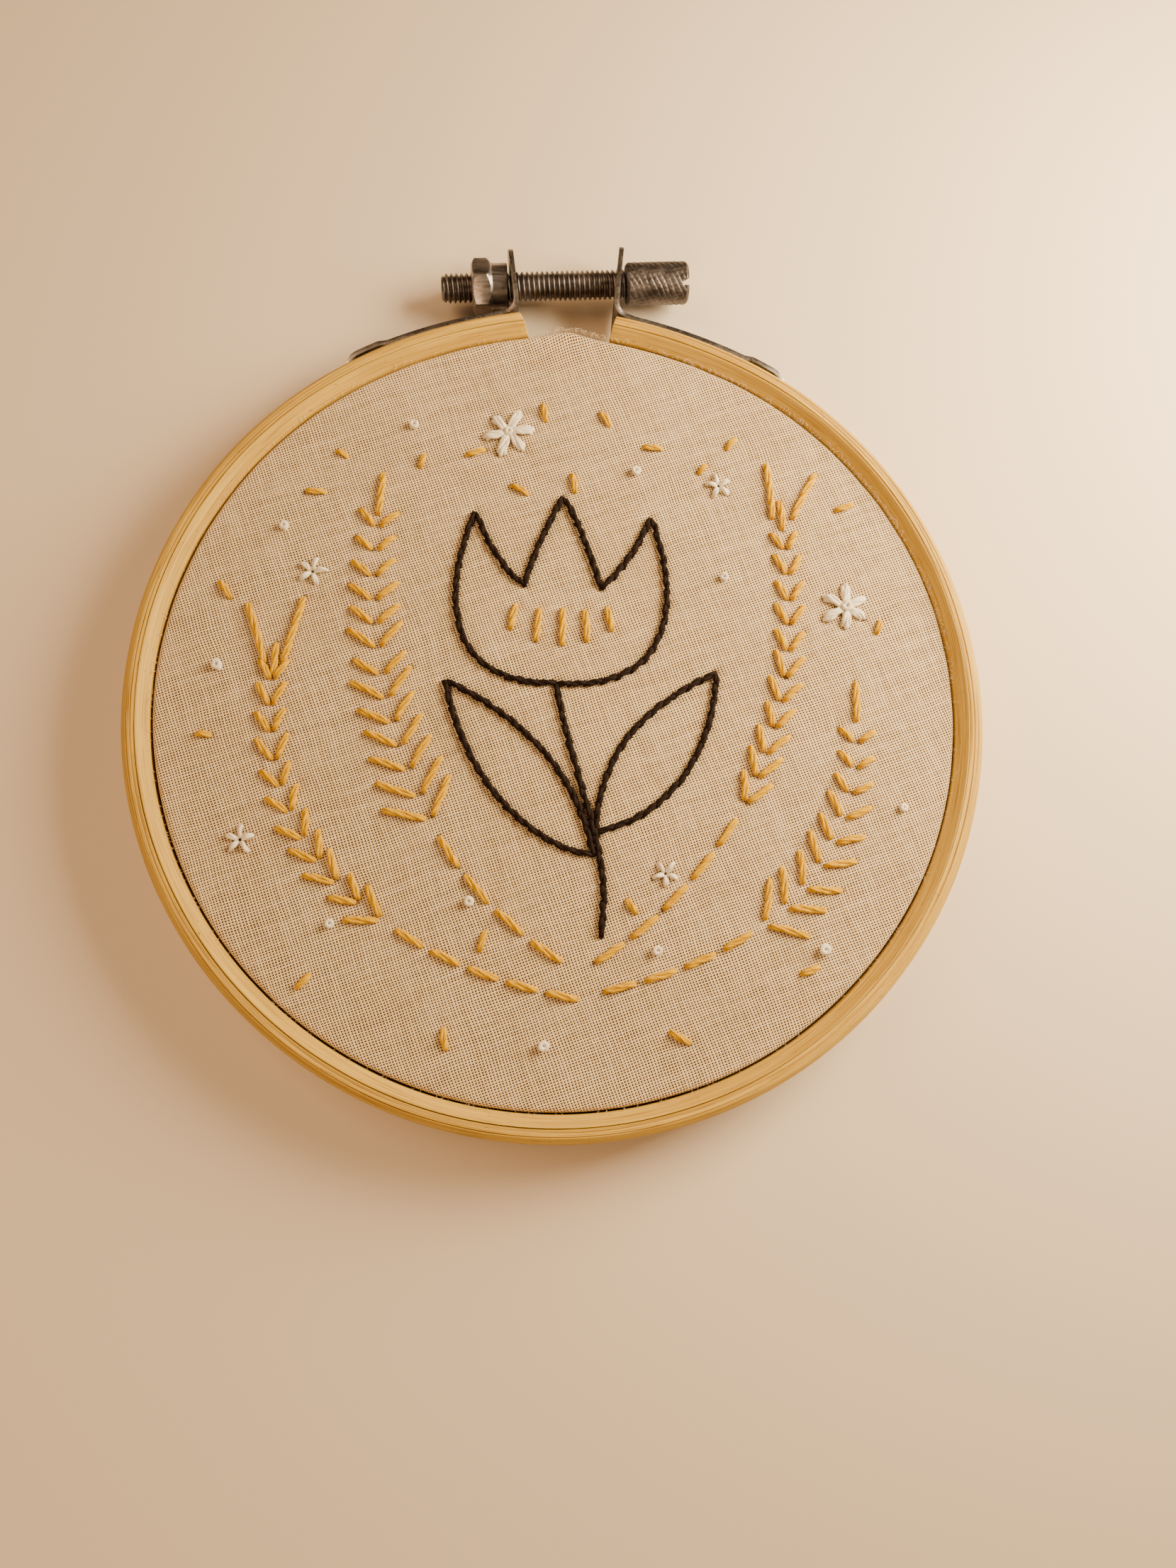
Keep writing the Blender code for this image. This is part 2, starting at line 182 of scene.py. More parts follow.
def strip_section(high_r):
    """The strip's section, down the outer side and up the inner one.

    It returns points (r, z) and, for each point, how far it may sink as a furrow, also as (r, z).
    """
    low_r = high_r - RING_WALL
    points, sinks = [], []

    def run(part):
        points.extend(part)
        sinks.extend([(0, 0)] * len(part))

    def furrow(place, normal, half_width, depth):
        """Three points across the wall: an edge, a bottom that may sink, and an edge."""
        place, normal = np.array(place), np.array(normal)
        onward = np.array([normal[1], -normal[0]])
        points.extend([place - onward * half_width, place, place + onward * half_width])
        sinks.extend([(0, 0), tuple(-normal * depth), (0, 0)])

    centre = np.array([high_r - TOP_EDGE_R, RING_TOP - TOP_EDGE_R])
    for reach in TOP_FURROWS:
        lean = math.asin(max(0.0, TOP_EDGE_R - reach) / TOP_EDGE_R)
        normal = np.array([math.sin(lean), math.cos(lean)])
        flat_shift = np.array([min(0.0, TOP_EDGE_R - reach), 0])
        furrow(centre + normal * TOP_EDGE_R + flat_shift, normal, TOP_FURROW_HALF, TOP_FURROW_DEPTH)
    run(arc(high_r - TOP_EDGE_R, RING_TOP - TOP_EDGE_R, TOP_EDGE_R, 60, 7)[:5])
    for height in SIDE_FURROWS:
        furrow((high_r, height), (1.0, 0.0), SIDE_FURROW_HALF, SIDE_FURROW_DEPTH)
    run(arc(high_r - BACK_EDGE_R, BACK_EDGE_R, BACK_EDGE_R, 0, 5))
    run(arc(low_r + BACK_EDGE_R, BACK_EDGE_R, BACK_EDGE_R, -90, 5))
    slope = np.array([1, 1]) / math.sqrt(2)
    run(eased_corner((low_r, RING_TOP - BEVEL), (0, -1), slope, BEVEL_EASE))
    run(eased_corner((low_r + BEVEL, RING_TOP), -slope, (1, 0), BEVEL_EASE))
    return np.array(points), np.array(sinks)


def quad_mesh(name, points, corners):
    """A mesh from points in metres and the four corner numbers of each face."""
    mesh = bpy.data.meshes.new(name)
    mesh.vertices.add(points.size // 3)
    mesh.vertices.foreach_set("co", points.reshape(-1).astype(np.float32))
    mesh.loops.add(corners.size)
    mesh.loops.foreach_set("vertex_index", corners.reshape(-1).astype(np.int32))
    mesh.polygons.add(len(corners))
    mesh.polygons.foreach_set("loop_start", (np.arange(len(corners)) * 4).astype(np.int32))
    mesh.update(calc_edges=True)
    return mesh


def set_map(mesh, corner_uv):
    mesh.uv_layers.new(name="map").data.foreach_set("uv", corner_uv.reshape(-1).astype(np.float32))


def set_values(mesh, name, values):
    """Give each point of a mesh a number under a name."""
    mesh.attributes.new(name, "FLOAT", "POINT").data.foreach_set("value", values.reshape(-1).astype(np.float32))


def grid_mesh(name, points, closed_u=False, closed_v=False, uv=None, attributes=None):
    """A mesh from a (rows, columns, 3) grid in metres, with its UVs and point attributes given on the same grid.

    A closed edge's last column of faces takes the next step of the UVs, so that the map doesn't run back.
    """
    rows, columns = points.shape[:2]
    i = np.arange(rows if closed_u else rows - 1)
    j = np.arange(columns if closed_v else columns - 1)
    ii, jj = (a.ravel() for a in np.meshgrid(i, j, indexing="ij"))
    i2, j2 = (ii + 1) % rows, (jj + 1) % columns
    corners = np.stack([ii * columns + jj, i2 * columns + jj, i2 * columns + j2, ii * columns + j2], 1)
    mesh = quad_mesh(name, points, corners)
    if uv is not None:
        u, v = (np.pad(value, ((0, 1), (0, 1)), mode="reflect", reflect_type="odd") for value in uv)
        ends = [(ii, jj), (ii + 1, jj), (ii + 1, jj + 1), (ii, jj + 1)]
        set_map(mesh, np.stack([np.stack([u[a, b], v[a, b]], -1) for a, b in ends], 1))
    for key, values in (attributes or {}).items():
        set_values(mesh, key, values)
    return mesh


def close_mesh(mesh, end_loops=()):
    """Close the given loops of points with one face each, merge doubled points and turn the faces outwards."""
    shape = bmesh.new()
    shape.from_mesh(mesh)
    shape.verts.ensure_lookup_table()
    for loop in end_loops:
        shape.faces.new([shape.verts[index] for index in loop])
    bmesh.ops.remove_doubles(shape, verts=shape.verts, dist=5e-7)
    bmesh.ops.recalc_face_normals(shape, faces=shape.faces)
    shape.to_mesh(mesh)
    shape.free()
    mesh.shade_smooth()
    return mesh


def bent_strip(section, sinks, unevenness):
    """The section carried round the hoop from one cut end to the other, as a grid with its UVs in millimetres.

    Angles run clockwise from +Y. Each point starts and stops where the slanted cut crosses its own radius. The
    radius wanders by a few slow waves, and the section draws in by a quarter circle at both ends.
    """
    r = section[:, 0]
    outer_half = SPLIT_HALF_WIDTH + (RING_R - RING_MID_R) * SPLIT_SLANTS[0]
    cuts = []
    for slant in SPLIT_SLANTS:
        cut = np.full_like(r, SPLIT_HALF_WIDTH / RING_MID_R)
        for _ in range(3):
            own_r = r + spring(cut)
            cut = np.arcsin((outer_half + (own_r * np.cos(cut) - RING_R) * slant) / own_r)
        cuts.append(cut)
    end_rows = np.array(END_ROWS) * END_EDGE / (2 * math.pi * RING_MID_R)
    middle_rows = np.linspace(end_rows[-1], 1 - end_rows[-1], OUTER_STEPS)[1:-1]
    share = np.concatenate([end_rows, middle_rows, 1 - end_rows[::-1]])[:, None]
    angle = cuts[0] + share * (2 * math.pi - cuts[0] - cuts[1])
    arc_length = np.minimum(share, 1 - share) * 2 * math.pi * RING_MID_R
    inset = END_EDGE * (1 - np.sqrt(1 - np.clip(1 - arc_length / END_EDGE, 0, 1) ** 2))
    wander = np.sin(3 * angle + 0.6) + 0.6 * np.sin(7 * angle + 2.1) + 0.35 * np.sin(13 * angle)
    number = np.arange(len(r))[None, :]
    sunk = np.clip(0.7 + 0.5 * np.sin(2 * angle + number) + 0.35 * np.sin(11 * angle + 3 * number), 0.1, 1.2)
    section = section[None] + sinks[None] * sunk[:, :, None]
    middle_z = RING_TOP / 2
    dr = section[:, :, 0] - RING_MID_R
    dz = section[:, :, 1] - middle_z
    shrink = 1 - inset / (np.maximum(np.abs(dr), np.abs(dz)) + 1e-6)
    radius = RING_MID_R + dr * shrink + unevenness * wander + spring(angle)
    height = middle_z + dz * shrink
    points = np.stack([radius * np.sin(angle), radius * np.cos(angle), height], -1)
    run = np.concatenate([[0], np.cumsum(np.hypot(*np.diff(section[0], axis=0).T))])
    return hoop_to_frame(points), (angle * RING_MID_R, np.broadcast_to(run, angle.shape))


def add_piece(name, mesh, body, material):
    """Link a finished mesh as a piece that rides on a body, with its material."""
    item = bpy.data.objects.new(name, mesh)
    bpy.context.scene.collection.objects.link(item)
    mesh.materials.clear()
    mesh.materials.append(material)
    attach(item, body)
    return item


def link(tree, source, target):
    tree.links.new(source, target)


def node(tree, kind, **values):
    """A shader node with its properties or named inputs set; _ in a name stands for a space."""
    item = tree.nodes.new(kind)
    for key, value in values.items():
        if hasattr(item, key):
            setattr(item, key, value)
        else:
            item.inputs[key.replace("_", " ")].default_value = value
    return item


def ramp(tree, source, stops):
    """A colour ramp fed by a socket, with (position, colour) stops."""
    item = tree.nodes.new("ShaderNodeValToRGB")
    while len(item.color_ramp.elements) < len(stops):
        item.color_ramp.elements.new(0.5)
    for element, (position, colour) in zip(item.color_ramp.elements, stops):
        element.position = position
        element.color = (*colour, 1)
    link(tree, source, item.inputs["Fac"])
    return item.outputs["Color"]


def feed(tree, socket, value):
    """Set a socket to a number or a colour, or link it to another socket."""
    if isinstance(value, (int, float, tuple)):
        socket.default_value = value
    else:
        link(tree, value, socket)


def maths(tree, operation, *values, clamp=False):
    """A math node whose inputs are numbers or sockets."""
    item = node(tree, "ShaderNodeMath", operation=operation, use_clamp=clamp)
    for socket, value in zip(item.inputs, values):
        feed(tree, socket, value)
    return item.outputs[0]


def layered(tree, share, base, layer, blend="MULTIPLY"):
    """One colour laid over another to a share between 0 and 1, as a product unless the blend says otherwise."""
    item = node(tree, "ShaderNodeMix", data_type="RGBA", blend_type=blend)
    ports = {socket.identifier: socket for socket in item.inputs}
    for port, value in (("Factor_Float", share), ("A_Color", base), ("B_Color", layer)):
        feed(tree, ports[port], value)
    return {socket.identifier: socket for socket in item.outputs}["Result_Color"]


def vector(tree, x=0.0, y=0.0, z=0.0):
    """A vector from three numbers or sockets."""
    item = tree.nodes.new("ShaderNodeCombineXYZ")
    for socket, value in zip(item.inputs, (x, y, z)):
        feed(tree, socket, value)
    return item.outputs[0]


def raised(tree, shader, height, strength, distance):
    """Make a height socket stand out of the surface, by a distance in metres."""
    bump = node(tree, "ShaderNodeBump", Strength=strength, Distance=distance)
    link(tree, height, bump.inputs["Height"])
    link(tree, bump.outputs["Normal"], shader.inputs["Normal"])


def new_group(name, inputs, outputs):
    """An empty node group with named sockets, returned with its input and output nodes."""
    group = bpy.data.node_groups.new(name, "ShaderNodeTree")
    for label, kind in inputs:
        group.interface.new_socket(label, in_out="INPUT", socket_type=kind)
    for label in outputs:
        group.interface.new_socket(label, in_out="OUTPUT", socket_type="NodeSocketFloat")
    return group, group.nodes.new("NodeGroupInput"), group.nodes.new("NodeGroupOutput")


def placed(tree, group, **values):
    """A node group placed in a tree, with its inputs set to numbers or linked to sockets."""
    item = tree.nodes.new("ShaderNodeGroup")
    item.node_tree = group
    for label, value in values.items():
        feed(tree, item.inputs[label.replace("_", " ")], value)
    return item.outputs


def long_grain_group():
    """Bamboo's fibres on a map of (length, girth) in millimetres: noises long one way and narrow the other."""
    group, source, result = new_group("long_grain", [("Map", "NodeSocketVector")], ["Tone", "Line", "Pore", "Height"])

    def stretched(along, across, detail, seed):
        place = node(group, "ShaderNodeMapping")
        place.inputs["Scale"].default_value = (along, across, 1)
        place.inputs["Location"].default_value = (seed, seed * 0.7, seed)
        link(group, source.outputs["Map"], place.inputs["Vector"])
        noise = node(group, "ShaderNodeTexNoise", Scale=1.0, Detail=detail, Roughness=0.6)
        link(group, place.outputs["Vector"], noise.inputs["Vector"])
        return noise.outputs["Fac"]

    broad = stretched(0.02, 0.5, 3.0, 1.0)
    fibre = stretched(0.035, 2.4, 4.0, 2.0)
    fine = stretched(0.10, 8.0, 2.0, 3.0)
    pore = stretched(0.9, 5.5, 1.0, 4.0)
    tone = maths(group, "MULTIPLY_ADD", maths(group, "SUBTRACT", fibre, broad), 0.5, broad)
    link(group, tone, result.inputs["Tone"])
    link(group, fine, result.inputs["Line"])
    link(group, pore, result.inputs["Pore"])
    link(group, maths(group, "MULTIPLY_ADD", fine, 0.7, fibre), result.inputs["Height"])
    return group


long_grain = long_grain_group()


def bamboo(name, pale, deep, roughness):
    """Honey-coloured bamboo: streaks between two tones, darker hair lines, short pores and a dull waxed gloss."""
    material, tree, shader = new_node_material(name, Roughness=roughness, Specular_IOR_Level=0.2)
    grain = placed(tree, long_grain, Map=node(tree, "ShaderNodeUVMap", uv_map="map").outputs["UV"])
    middle = tuple((a + b) / 2 for a, b in zip(pale, deep))
    lines = ramp(tree, grain["Line"], [(0.34, (0.50, 0.36, 0.22)), (0.47, (1, 1, 1))])
    pores = ramp(tree, grain["Pore"], [(0.235, (0.22, 0.11, 0.05)), (0.27, (1, 1, 1))])
    colour = ramp(tree, grain["Tone"], [(0.36, deep), (0.5, middle), (0.62, pale)])
    colour = layered(tree, 0.75, colour, lines)
    colour = layered(tree, 0.9, colour, pores)
    link(tree, colour, shader.inputs["Base Color"])
    raised(tree, shader, grain["Height"], 0.4, 0.0001)
    return material


section, sinks = strip_section(RING_R - 0.02)
points, uv = bent_strip(section, sinks, 0.03)
ring_mesh = grid_mesh("bamboo_outer", points, closed_v=True, uv=uv)
last_row = (len(points) - 1) * len(section)
close_mesh(ring_mesh, (range(len(section)), range(last_row, last_row + len(section))))
ring_mesh.set_sharp_from_angle(angle=math.radians(40))
outer_bamboo = bamboo("bamboo_outer_grain", (0.73, 0.50, 0.10), (0.50, 0.30, 0.045), 0.5)
outer = add_piece("bamboo_outer", ring_mesh, "hoop", outer_bamboo)
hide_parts("outer_ring")


# The inner ring: a closed, shorter ring of the same bamboo that the cloth is drawn over. Only its back edge and
# its inner wall show, from behind. Its strip is scarfed and glued, so no gap is left in it.
inner_low, inner_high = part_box("inner_ring")
INNER_R = (inner_high[0] - inner_low[0]) / 2 / MM
INNER_TOP = inner_high[2] / MM
INNER_WALL = 3.2
INNER_EDGE_R = 0.8
INNER_STEPS = 240
inner_edges = (
    (INNER_R - INNER_EDGE_R, INNER_TOP - INNER_EDGE_R, 90),
    (INNER_R - INNER_EDGE_R, INNER_EDGE_R, 0),
    (INNER_R - INNER_WALL + INNER_EDGE_R, INNER_EDGE_R, -90),
    (INNER_R - INNER_WALL + INNER_EDGE_R, INNER_TOP - INNER_EDGE_R, -180),
)
section = np.concatenate([arc(r, z, INNER_EDGE_R, start, 5) for r, z, start in inner_edges])
angle = np.linspace(0, 2 * math.pi, INNER_STEPS, endpoint=False)[:, None]
r, z = section[None, :, 0], section[None, :, 1]
points = hoop_to_frame(np.stack([r * np.sin(angle), r * np.cos(angle), z + 0 * angle], -1))
run = np.concatenate([[0], np.cumsum(np.hypot(*np.diff(section, axis=0).T))])
uv = (angle * INNER_R + 0 * r, run + 0 * angle)
ring_mesh = close_mesh(grid_mesh("bamboo_inner", points, closed_u=True, closed_v=True, uv=uv))
inner_bamboo = bamboo("bamboo_inner_grain", (0.70, 0.46, 0.12), (0.48, 0.27, 0.05), 0.55)
inner = add_piece("bamboo_inner", ring_mesh, "hoop", inner_bamboo)
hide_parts("inner_ring")


# The stitches' places, laid out in the hoop's plan before the cloth is made, because each stitch draws the weave
# down at its two ends. Gold sprays stand round an outlined tulip, with small white flowers and knots between.
LAYOUT_SEED = 4
SPRAY_ROOT = 0.55
rng = np.random.default_rng(LAYOUT_SEED)


def curve_points(points, count):
    """Evenly parted points on a Bezier curve of any order, and the curve's length."""
    points = np.asarray(points, float)
    t = np.linspace(0, 1, 200)[:, None]
    order = len(points) - 1
    curve = sum(math.comb(order, k) * (1 - t) ** (order - k) * t**k * points[k] for k in range(order + 1))
    run = np.concatenate([[0], np.cumsum(np.hypot(*np.diff(curve, axis=0).T))])
    places = np.linspace(0, run[-1], count)
    return np.stack([np.interp(places, run, curve[:, 0]), np.interp(places, run, curve[:, 1])], 1), run[-1]


def spray(spine, start, spacing, length, splay, taper=0.75):
    """Pairs of stitches that leave a curved spine on both sides, shorter towards its tip, and one at the tip."""
    curve, run = curve_points(spine, 120)
    heading = np.gradient(curve, axis=0)
    heading /= np.hypot(*heading.T)[:, None]
    places = np.arange(start * run, run, spacing)
    rows = []
    for number, place in enumerate(places):
        index = int(place / run * 119)
        size = length * (1 - (1 - taper) * number / max(1, len(places) - 1)) * rng.uniform(0.88, 1.1)
        for side in (-1, 1):
            lean = side * (splay + rng.uniform(-0.07, 0.07))
            cos, sin = math.cos(lean), math.sin(lean)
            out = heading[index] @ np.array([[cos, sin], [-sin, cos]])
            root = curve[index] + out * SPRAY_ROOT
            rows.append((root, root + out * size))
    rows.append((curve[-1], curve[-1] + heading[-1] * length * 1.1))
    return rows


def run_of_stitches(spine, length, gap):
    """Straight stitches end to end along a curve with small gaps."""
    _, run = curve_points(spine, 2)
    count = max(1, round(run / (length + gap)))
    curve, _ = curve_points(spine, count * 10 + 1)
    keep = round(10 * length / (length + gap))
    return [(curve[10 * k], curve[10 * k + keep]) for k in range(count)]


def dash(x, y, lean, reach):
    """One stitch from a root, leaning clockwise from +Y by an angle in radians."""
    root = np.array([x, y], float)
    return root, root + reach * np.array([math.sin(lean), math.cos(lean)])


gold = []
gold += run_of_stitches([(3, -37.5), (-8, -35.5), (-15, -32.5), (-20, -29)], 4.2, 0.8)
gold += run_of_stitches([(1, -33), (-6, -29), (-11, -24), (-15, -17)], 4.6, 0.9)
gold += run_of_stitches([(6, -36.5), (14, -34.5), (20, -32), (25, -28.5)], 4.2, 0.8)
gold += run_of_stitches([(5, -33), (13, -28), (18, -22), (23, -14)], 4.6, 0.9)
gold += spray([(-20, -29), (-31, -22), (-36.5, -12), (-36, 2)], 0.03, 3.5, 3.9, 0.52)
gold += spray([(-15, -17), (-22, -4), (-25, 9), (-24, 24)], 0.03, 3.3, 5.6, 0.85, 0.5)
gold += spray([(25, -28.5), (33, -23), (38, -14), (38, -2)], 0.03, 3.4, 5.0, 0.85, 0.5)
gold += spray([(23, -14), (28.5, -3), (31, 8), (29, 24)], 0.03, 3.5, 3.9, 0.52)
AWNS = ((-37.1, 3.4, -0.33, 8.6), (-34.9, 3.5, 0.23, 9.4), (27.6, 25.4, -0.1, 8.2), (30.2, 25.5, 0.46, 7.6))
STAMENS = (
    (-6.5, 9, 0.2, 3.6), (-3.2, 7.5, 0.08, 4.6), (0.2, 7, 0, 5.2), (3.4, 7.6, -0.1, 4.5), (6.6, 9.2, -0.22, 3.4),
)
gold += [dash(*place) for place in AWNS + STAMENS]
SEEDS = (
    (-13, 33), (-19, 31), (6, 38), (13, 35), (19, 33), (-3, 41), (-30, 33), (36, 27), (41, 10), (-42, 12),
    (-43, -6), (-29, -35), (-13, -41), (14, -41), (30, -34), (-9, -32), (10, -27), (-31, 27), (23, 37), (1, 31),
    (-7, 29),
)
gold += [dash(x, y, 1.2 - 0.9 * number, rng.uniform(1.7, 2.9)) for number, (x, y) in enumerate(SEEDS)]

OUTLINE = (
    [(5.5, -30), (7.5, -20), (1.5, -10), (-0.5, 2)],
    [(-0.5, 2), (-15, 1), (-15.5, 14), (-11.5, 25)],
    [(-11.5, 25), (-9.5, 20), (-7.5, 17), (-5, 15)],
    [(-5, 15), (-3.5, 20), (-2, 24), (0, 27.5)],
    [(0, 27.5), (2, 24), (3.5, 20), (5, 15)],
    [(5, 15), (7.5, 17), (9.5, 20), (11.5, 25)],
    [(11.5, 25), (15.5, 14), (15, 1), (-0.5, 2)],
    [(4.6, -20), (-4, -19), (-12, -10), (-14.5, 2)],
    [(-14.5, 2), (-6, -2), (2, -8), (4.6, -20)],
    [(4.8, -17), (14, -15), (19.5, -7), (20, 4)],
    [(20, 4), (12, 0), (5, -6), (4.8, -17)],
)
STEM_PITCH = 2.0
STEM_LENGTH = 2.7
STEM_SIDESTEP = 0.16
black = []
for line in OUTLINE:
    _, run = curve_points(line, 2)
    fine, _ = curve_points(line, 400)
    count = max(2, round(run / STEM_PITCH))
    for k in range(count):
        first = int(399 * k / count)
        start, stop = fine[first], fine[min(399, int(first + 399 * STEM_LENGTH / run))]
        across = np.array([start[1] - stop[1], stop[0] - start[0]]) / np.hypot(*(stop - start))
        black.append((start - across * STEM_SIDESTEP, stop + across * STEM_SIDESTEP))

PETAL_SIDE = 0.36
FLOWERS = (  # x, y, petals, where a petal starts and stops, turn
    (-7.5, 36.5, 6, 0.4, 3.3, 0.2), (37, 13.5, 6, 0.4, 3.2, 0.5), (-32, 16, 5, 0.3, 1.8, 0.1),
    (20.5, 30, 5, 0.3, 1.7, 0.6), (-38.5, -19, 5, 0.3, 1.7, 0.3), (13.5, -22, 5, 0.3, 1.7, 0.9),
)
white = []
for x, y, petals, near, far, turn in FLOWERS:
    heart = np.array([x, y])
    for k in range(petals):
        lean = turn + 2 * math.pi * k / petals + rng.uniform(-0.1, 0.1)
        out = np.array([math.cos(lean), math.sin(lean)])
        size = far * rng.uniform(0.9, 1.08)
        for side in (-PETAL_SIDE, 0.0, PETAL_SIDE) if far > 2 else (0.0,):
            shift = np.array([-out[1], out[0]]) * side
            white.append((heart + out * near + shift * 0.3, heart + out * (size - abs(side)) + shift))
KNOTS = (
    (-7.5, 36.5), (37, 13.5), (-43, 3), (-27, -29), (21, 17), (33, -31), (-20, 37), (9.5, 31.5), (-1, -43),
    (-10.5, -26), (43.5, -13), (-36, 22), (12.5, -31.5),
)


# The cloth: a plain weave of undyed cotton, drawn tight over the inner ring. It dips where a needle went through,
# curls down into the seam all round, follows the sprung ring and swells out where the ring is open.
cloth_low, cloth_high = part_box("cloth")
CLOTH_Z = cloth_high[2] / MM - 0.08
SEAM_R = RING_R - RING_WALL - 0.1
SEAM_GAP = 0.13
SEAM_BEND = 0.75
HEM_Z = cloth_low[2] / MM + 0.1
FACE_RINGS = 118
BEND_RINGS = 7
SKIRT_RINGS = 6
CLOTH_COLUMNS = 560
BULGE = 0.55
BULGE_HALF_ANGLE = math.radians(5.7)
FACE_WANDER = 0.07
RIM_WANDER = 0.1
DIMPLE_DEPTH = 0.15
DIMPLE_SPREAD = 0.5
HOLE_SPREAD = 0.28
OPEN_HOLES = 0.3
WEAVE_TURN = math.radians(20.5)
WARP_PITCH = 0.375
WEFT_PITCH = 0.33


def slow_waves(x, y, seed, scale):
    """A smooth wander in -1..1: six sine waves in seeded directions, with wavelengths near the scale."""
    waves = np.random.default_rng(seed)
    total = np.zeros_like(x)
    for _ in range(6):
        heading, phase = waves.uniform(0, 2 * math.pi), waves.uniform(0, 2 * math.pi)
        pulse = 2 * math.pi / (scale * waves.uniform(0.7, 1.5))
        total += np.sin((x * math.cos(heading) + y * math.sin(heading)) * pulse + phase)
    return total / 6


flat_r = SEAM_R - SEAM_BEND
bend = np.radians(np.linspace(0, 90, BEND_RINGS + 1))[1:]
profile_r = np.concatenate([
    np.linspace(0, flat_r, FACE_RINGS), flat_r + SEAM_BEND * np.sin(bend), np.full(SKIRT_RINGS, SEAM_R)
])
profile_z = np.concatenate([
    np.full(FACE_RINGS, CLOTH_Z), CLOTH_Z - SEAM_BEND * (1 - np.cos(bend)),
    np.linspace(CLOTH_Z - SEAM_BEND, HEM_Z, SKIRT_RINGS + 1)[1:],
])
angle = np.linspace(0, 2 * math.pi, CLOTH_COLUMNS, endpoint=False)[None, :]
from_split = (angle + math.pi) % (2 * math.pi) - math.pi
swell = np.cos(math.pi / 2 * np.clip(from_split / BULGE_HALF_ANGLE, -1, 1)) ** 2
rim_from = 0.93 * flat_r
rim = np.clip((profile_r - rim_from) / (SEAM_R - rim_from), 0, 1)[:, None] ** 2
loose = np.clip(0.75 - 0.7 * np.cos(angle - 0.6) + 0.3 * np.sin(9 * angle), 0, 1.4)
seam_gap = SEAM_GAP * loose * (1 - swell)
swell *= BULGE * (1 + 0.12 * np.sin(from_split * 95 + 0.8))
radius = profile_r[:, None] + rim * (spring(angle) + swell - seam_gap)
x = radius * np.sin(angle)
y = radius * np.cos(angle)
on_face = np.clip((flat_r + 0.4 - profile_r) / 3.0, 0, 1)[:, None]
height = profile_z[:, None] + on_face * FACE_WANDER * slow_waves(x, y, 3, 26.0)
height += RIM_WANDER * rim * (1 - on_face) * slow_waves(x, y, 5, 7.0)
# Painted shade at the needle holes: dark where a hole stays open, faint round the others, as small shadows at the
# stitches' ends.
needle_shade = np.zeros_like(x)
holes = [end for stitch in gold + black + white for end in stitch]
for (end_x, end_y), draw in zip(holes, rng.uniform(0, 1, len(holes))):
    square = (x - end_x) ** 2 + (y - end_y) ** 2
    height -= DIMPLE_DEPTH * np.exp(-square / (2 * DIMPLE_SPREAD**2))
    needle_shade += (1.3 if draw < OPEN_HOLES else 0.35) * np.exp(-square / (2 * HOLE_SPREAD**2))
# Painted shade down in the seam: the cloth's colour darkens as it sinks below its face into the gap at the ring.
seam_shade_depth = np.clip((CLOTH_Z - 0.35 - profile_z) / 0.6, 0, 1)[:, None] + 0 * x
points = hoop_to_frame(np.stack([x, y, height], -1))
flat_length = np.concatenate([[0], np.cumsum(np.hypot(np.diff(profile_r), np.diff(profile_z)))])[:, None]
cloth_mesh = close_mesh(grid_mesh("woven_cloth", points, closed_v=True, attributes={
    "needle_shade": np.clip(needle_shade, 0, 1),
    "seam_shade": seam_shade_depth,
    "flat_x": flat_length * np.sin(angle),
    "flat_y": flat_length * np.cos(angle),
}))


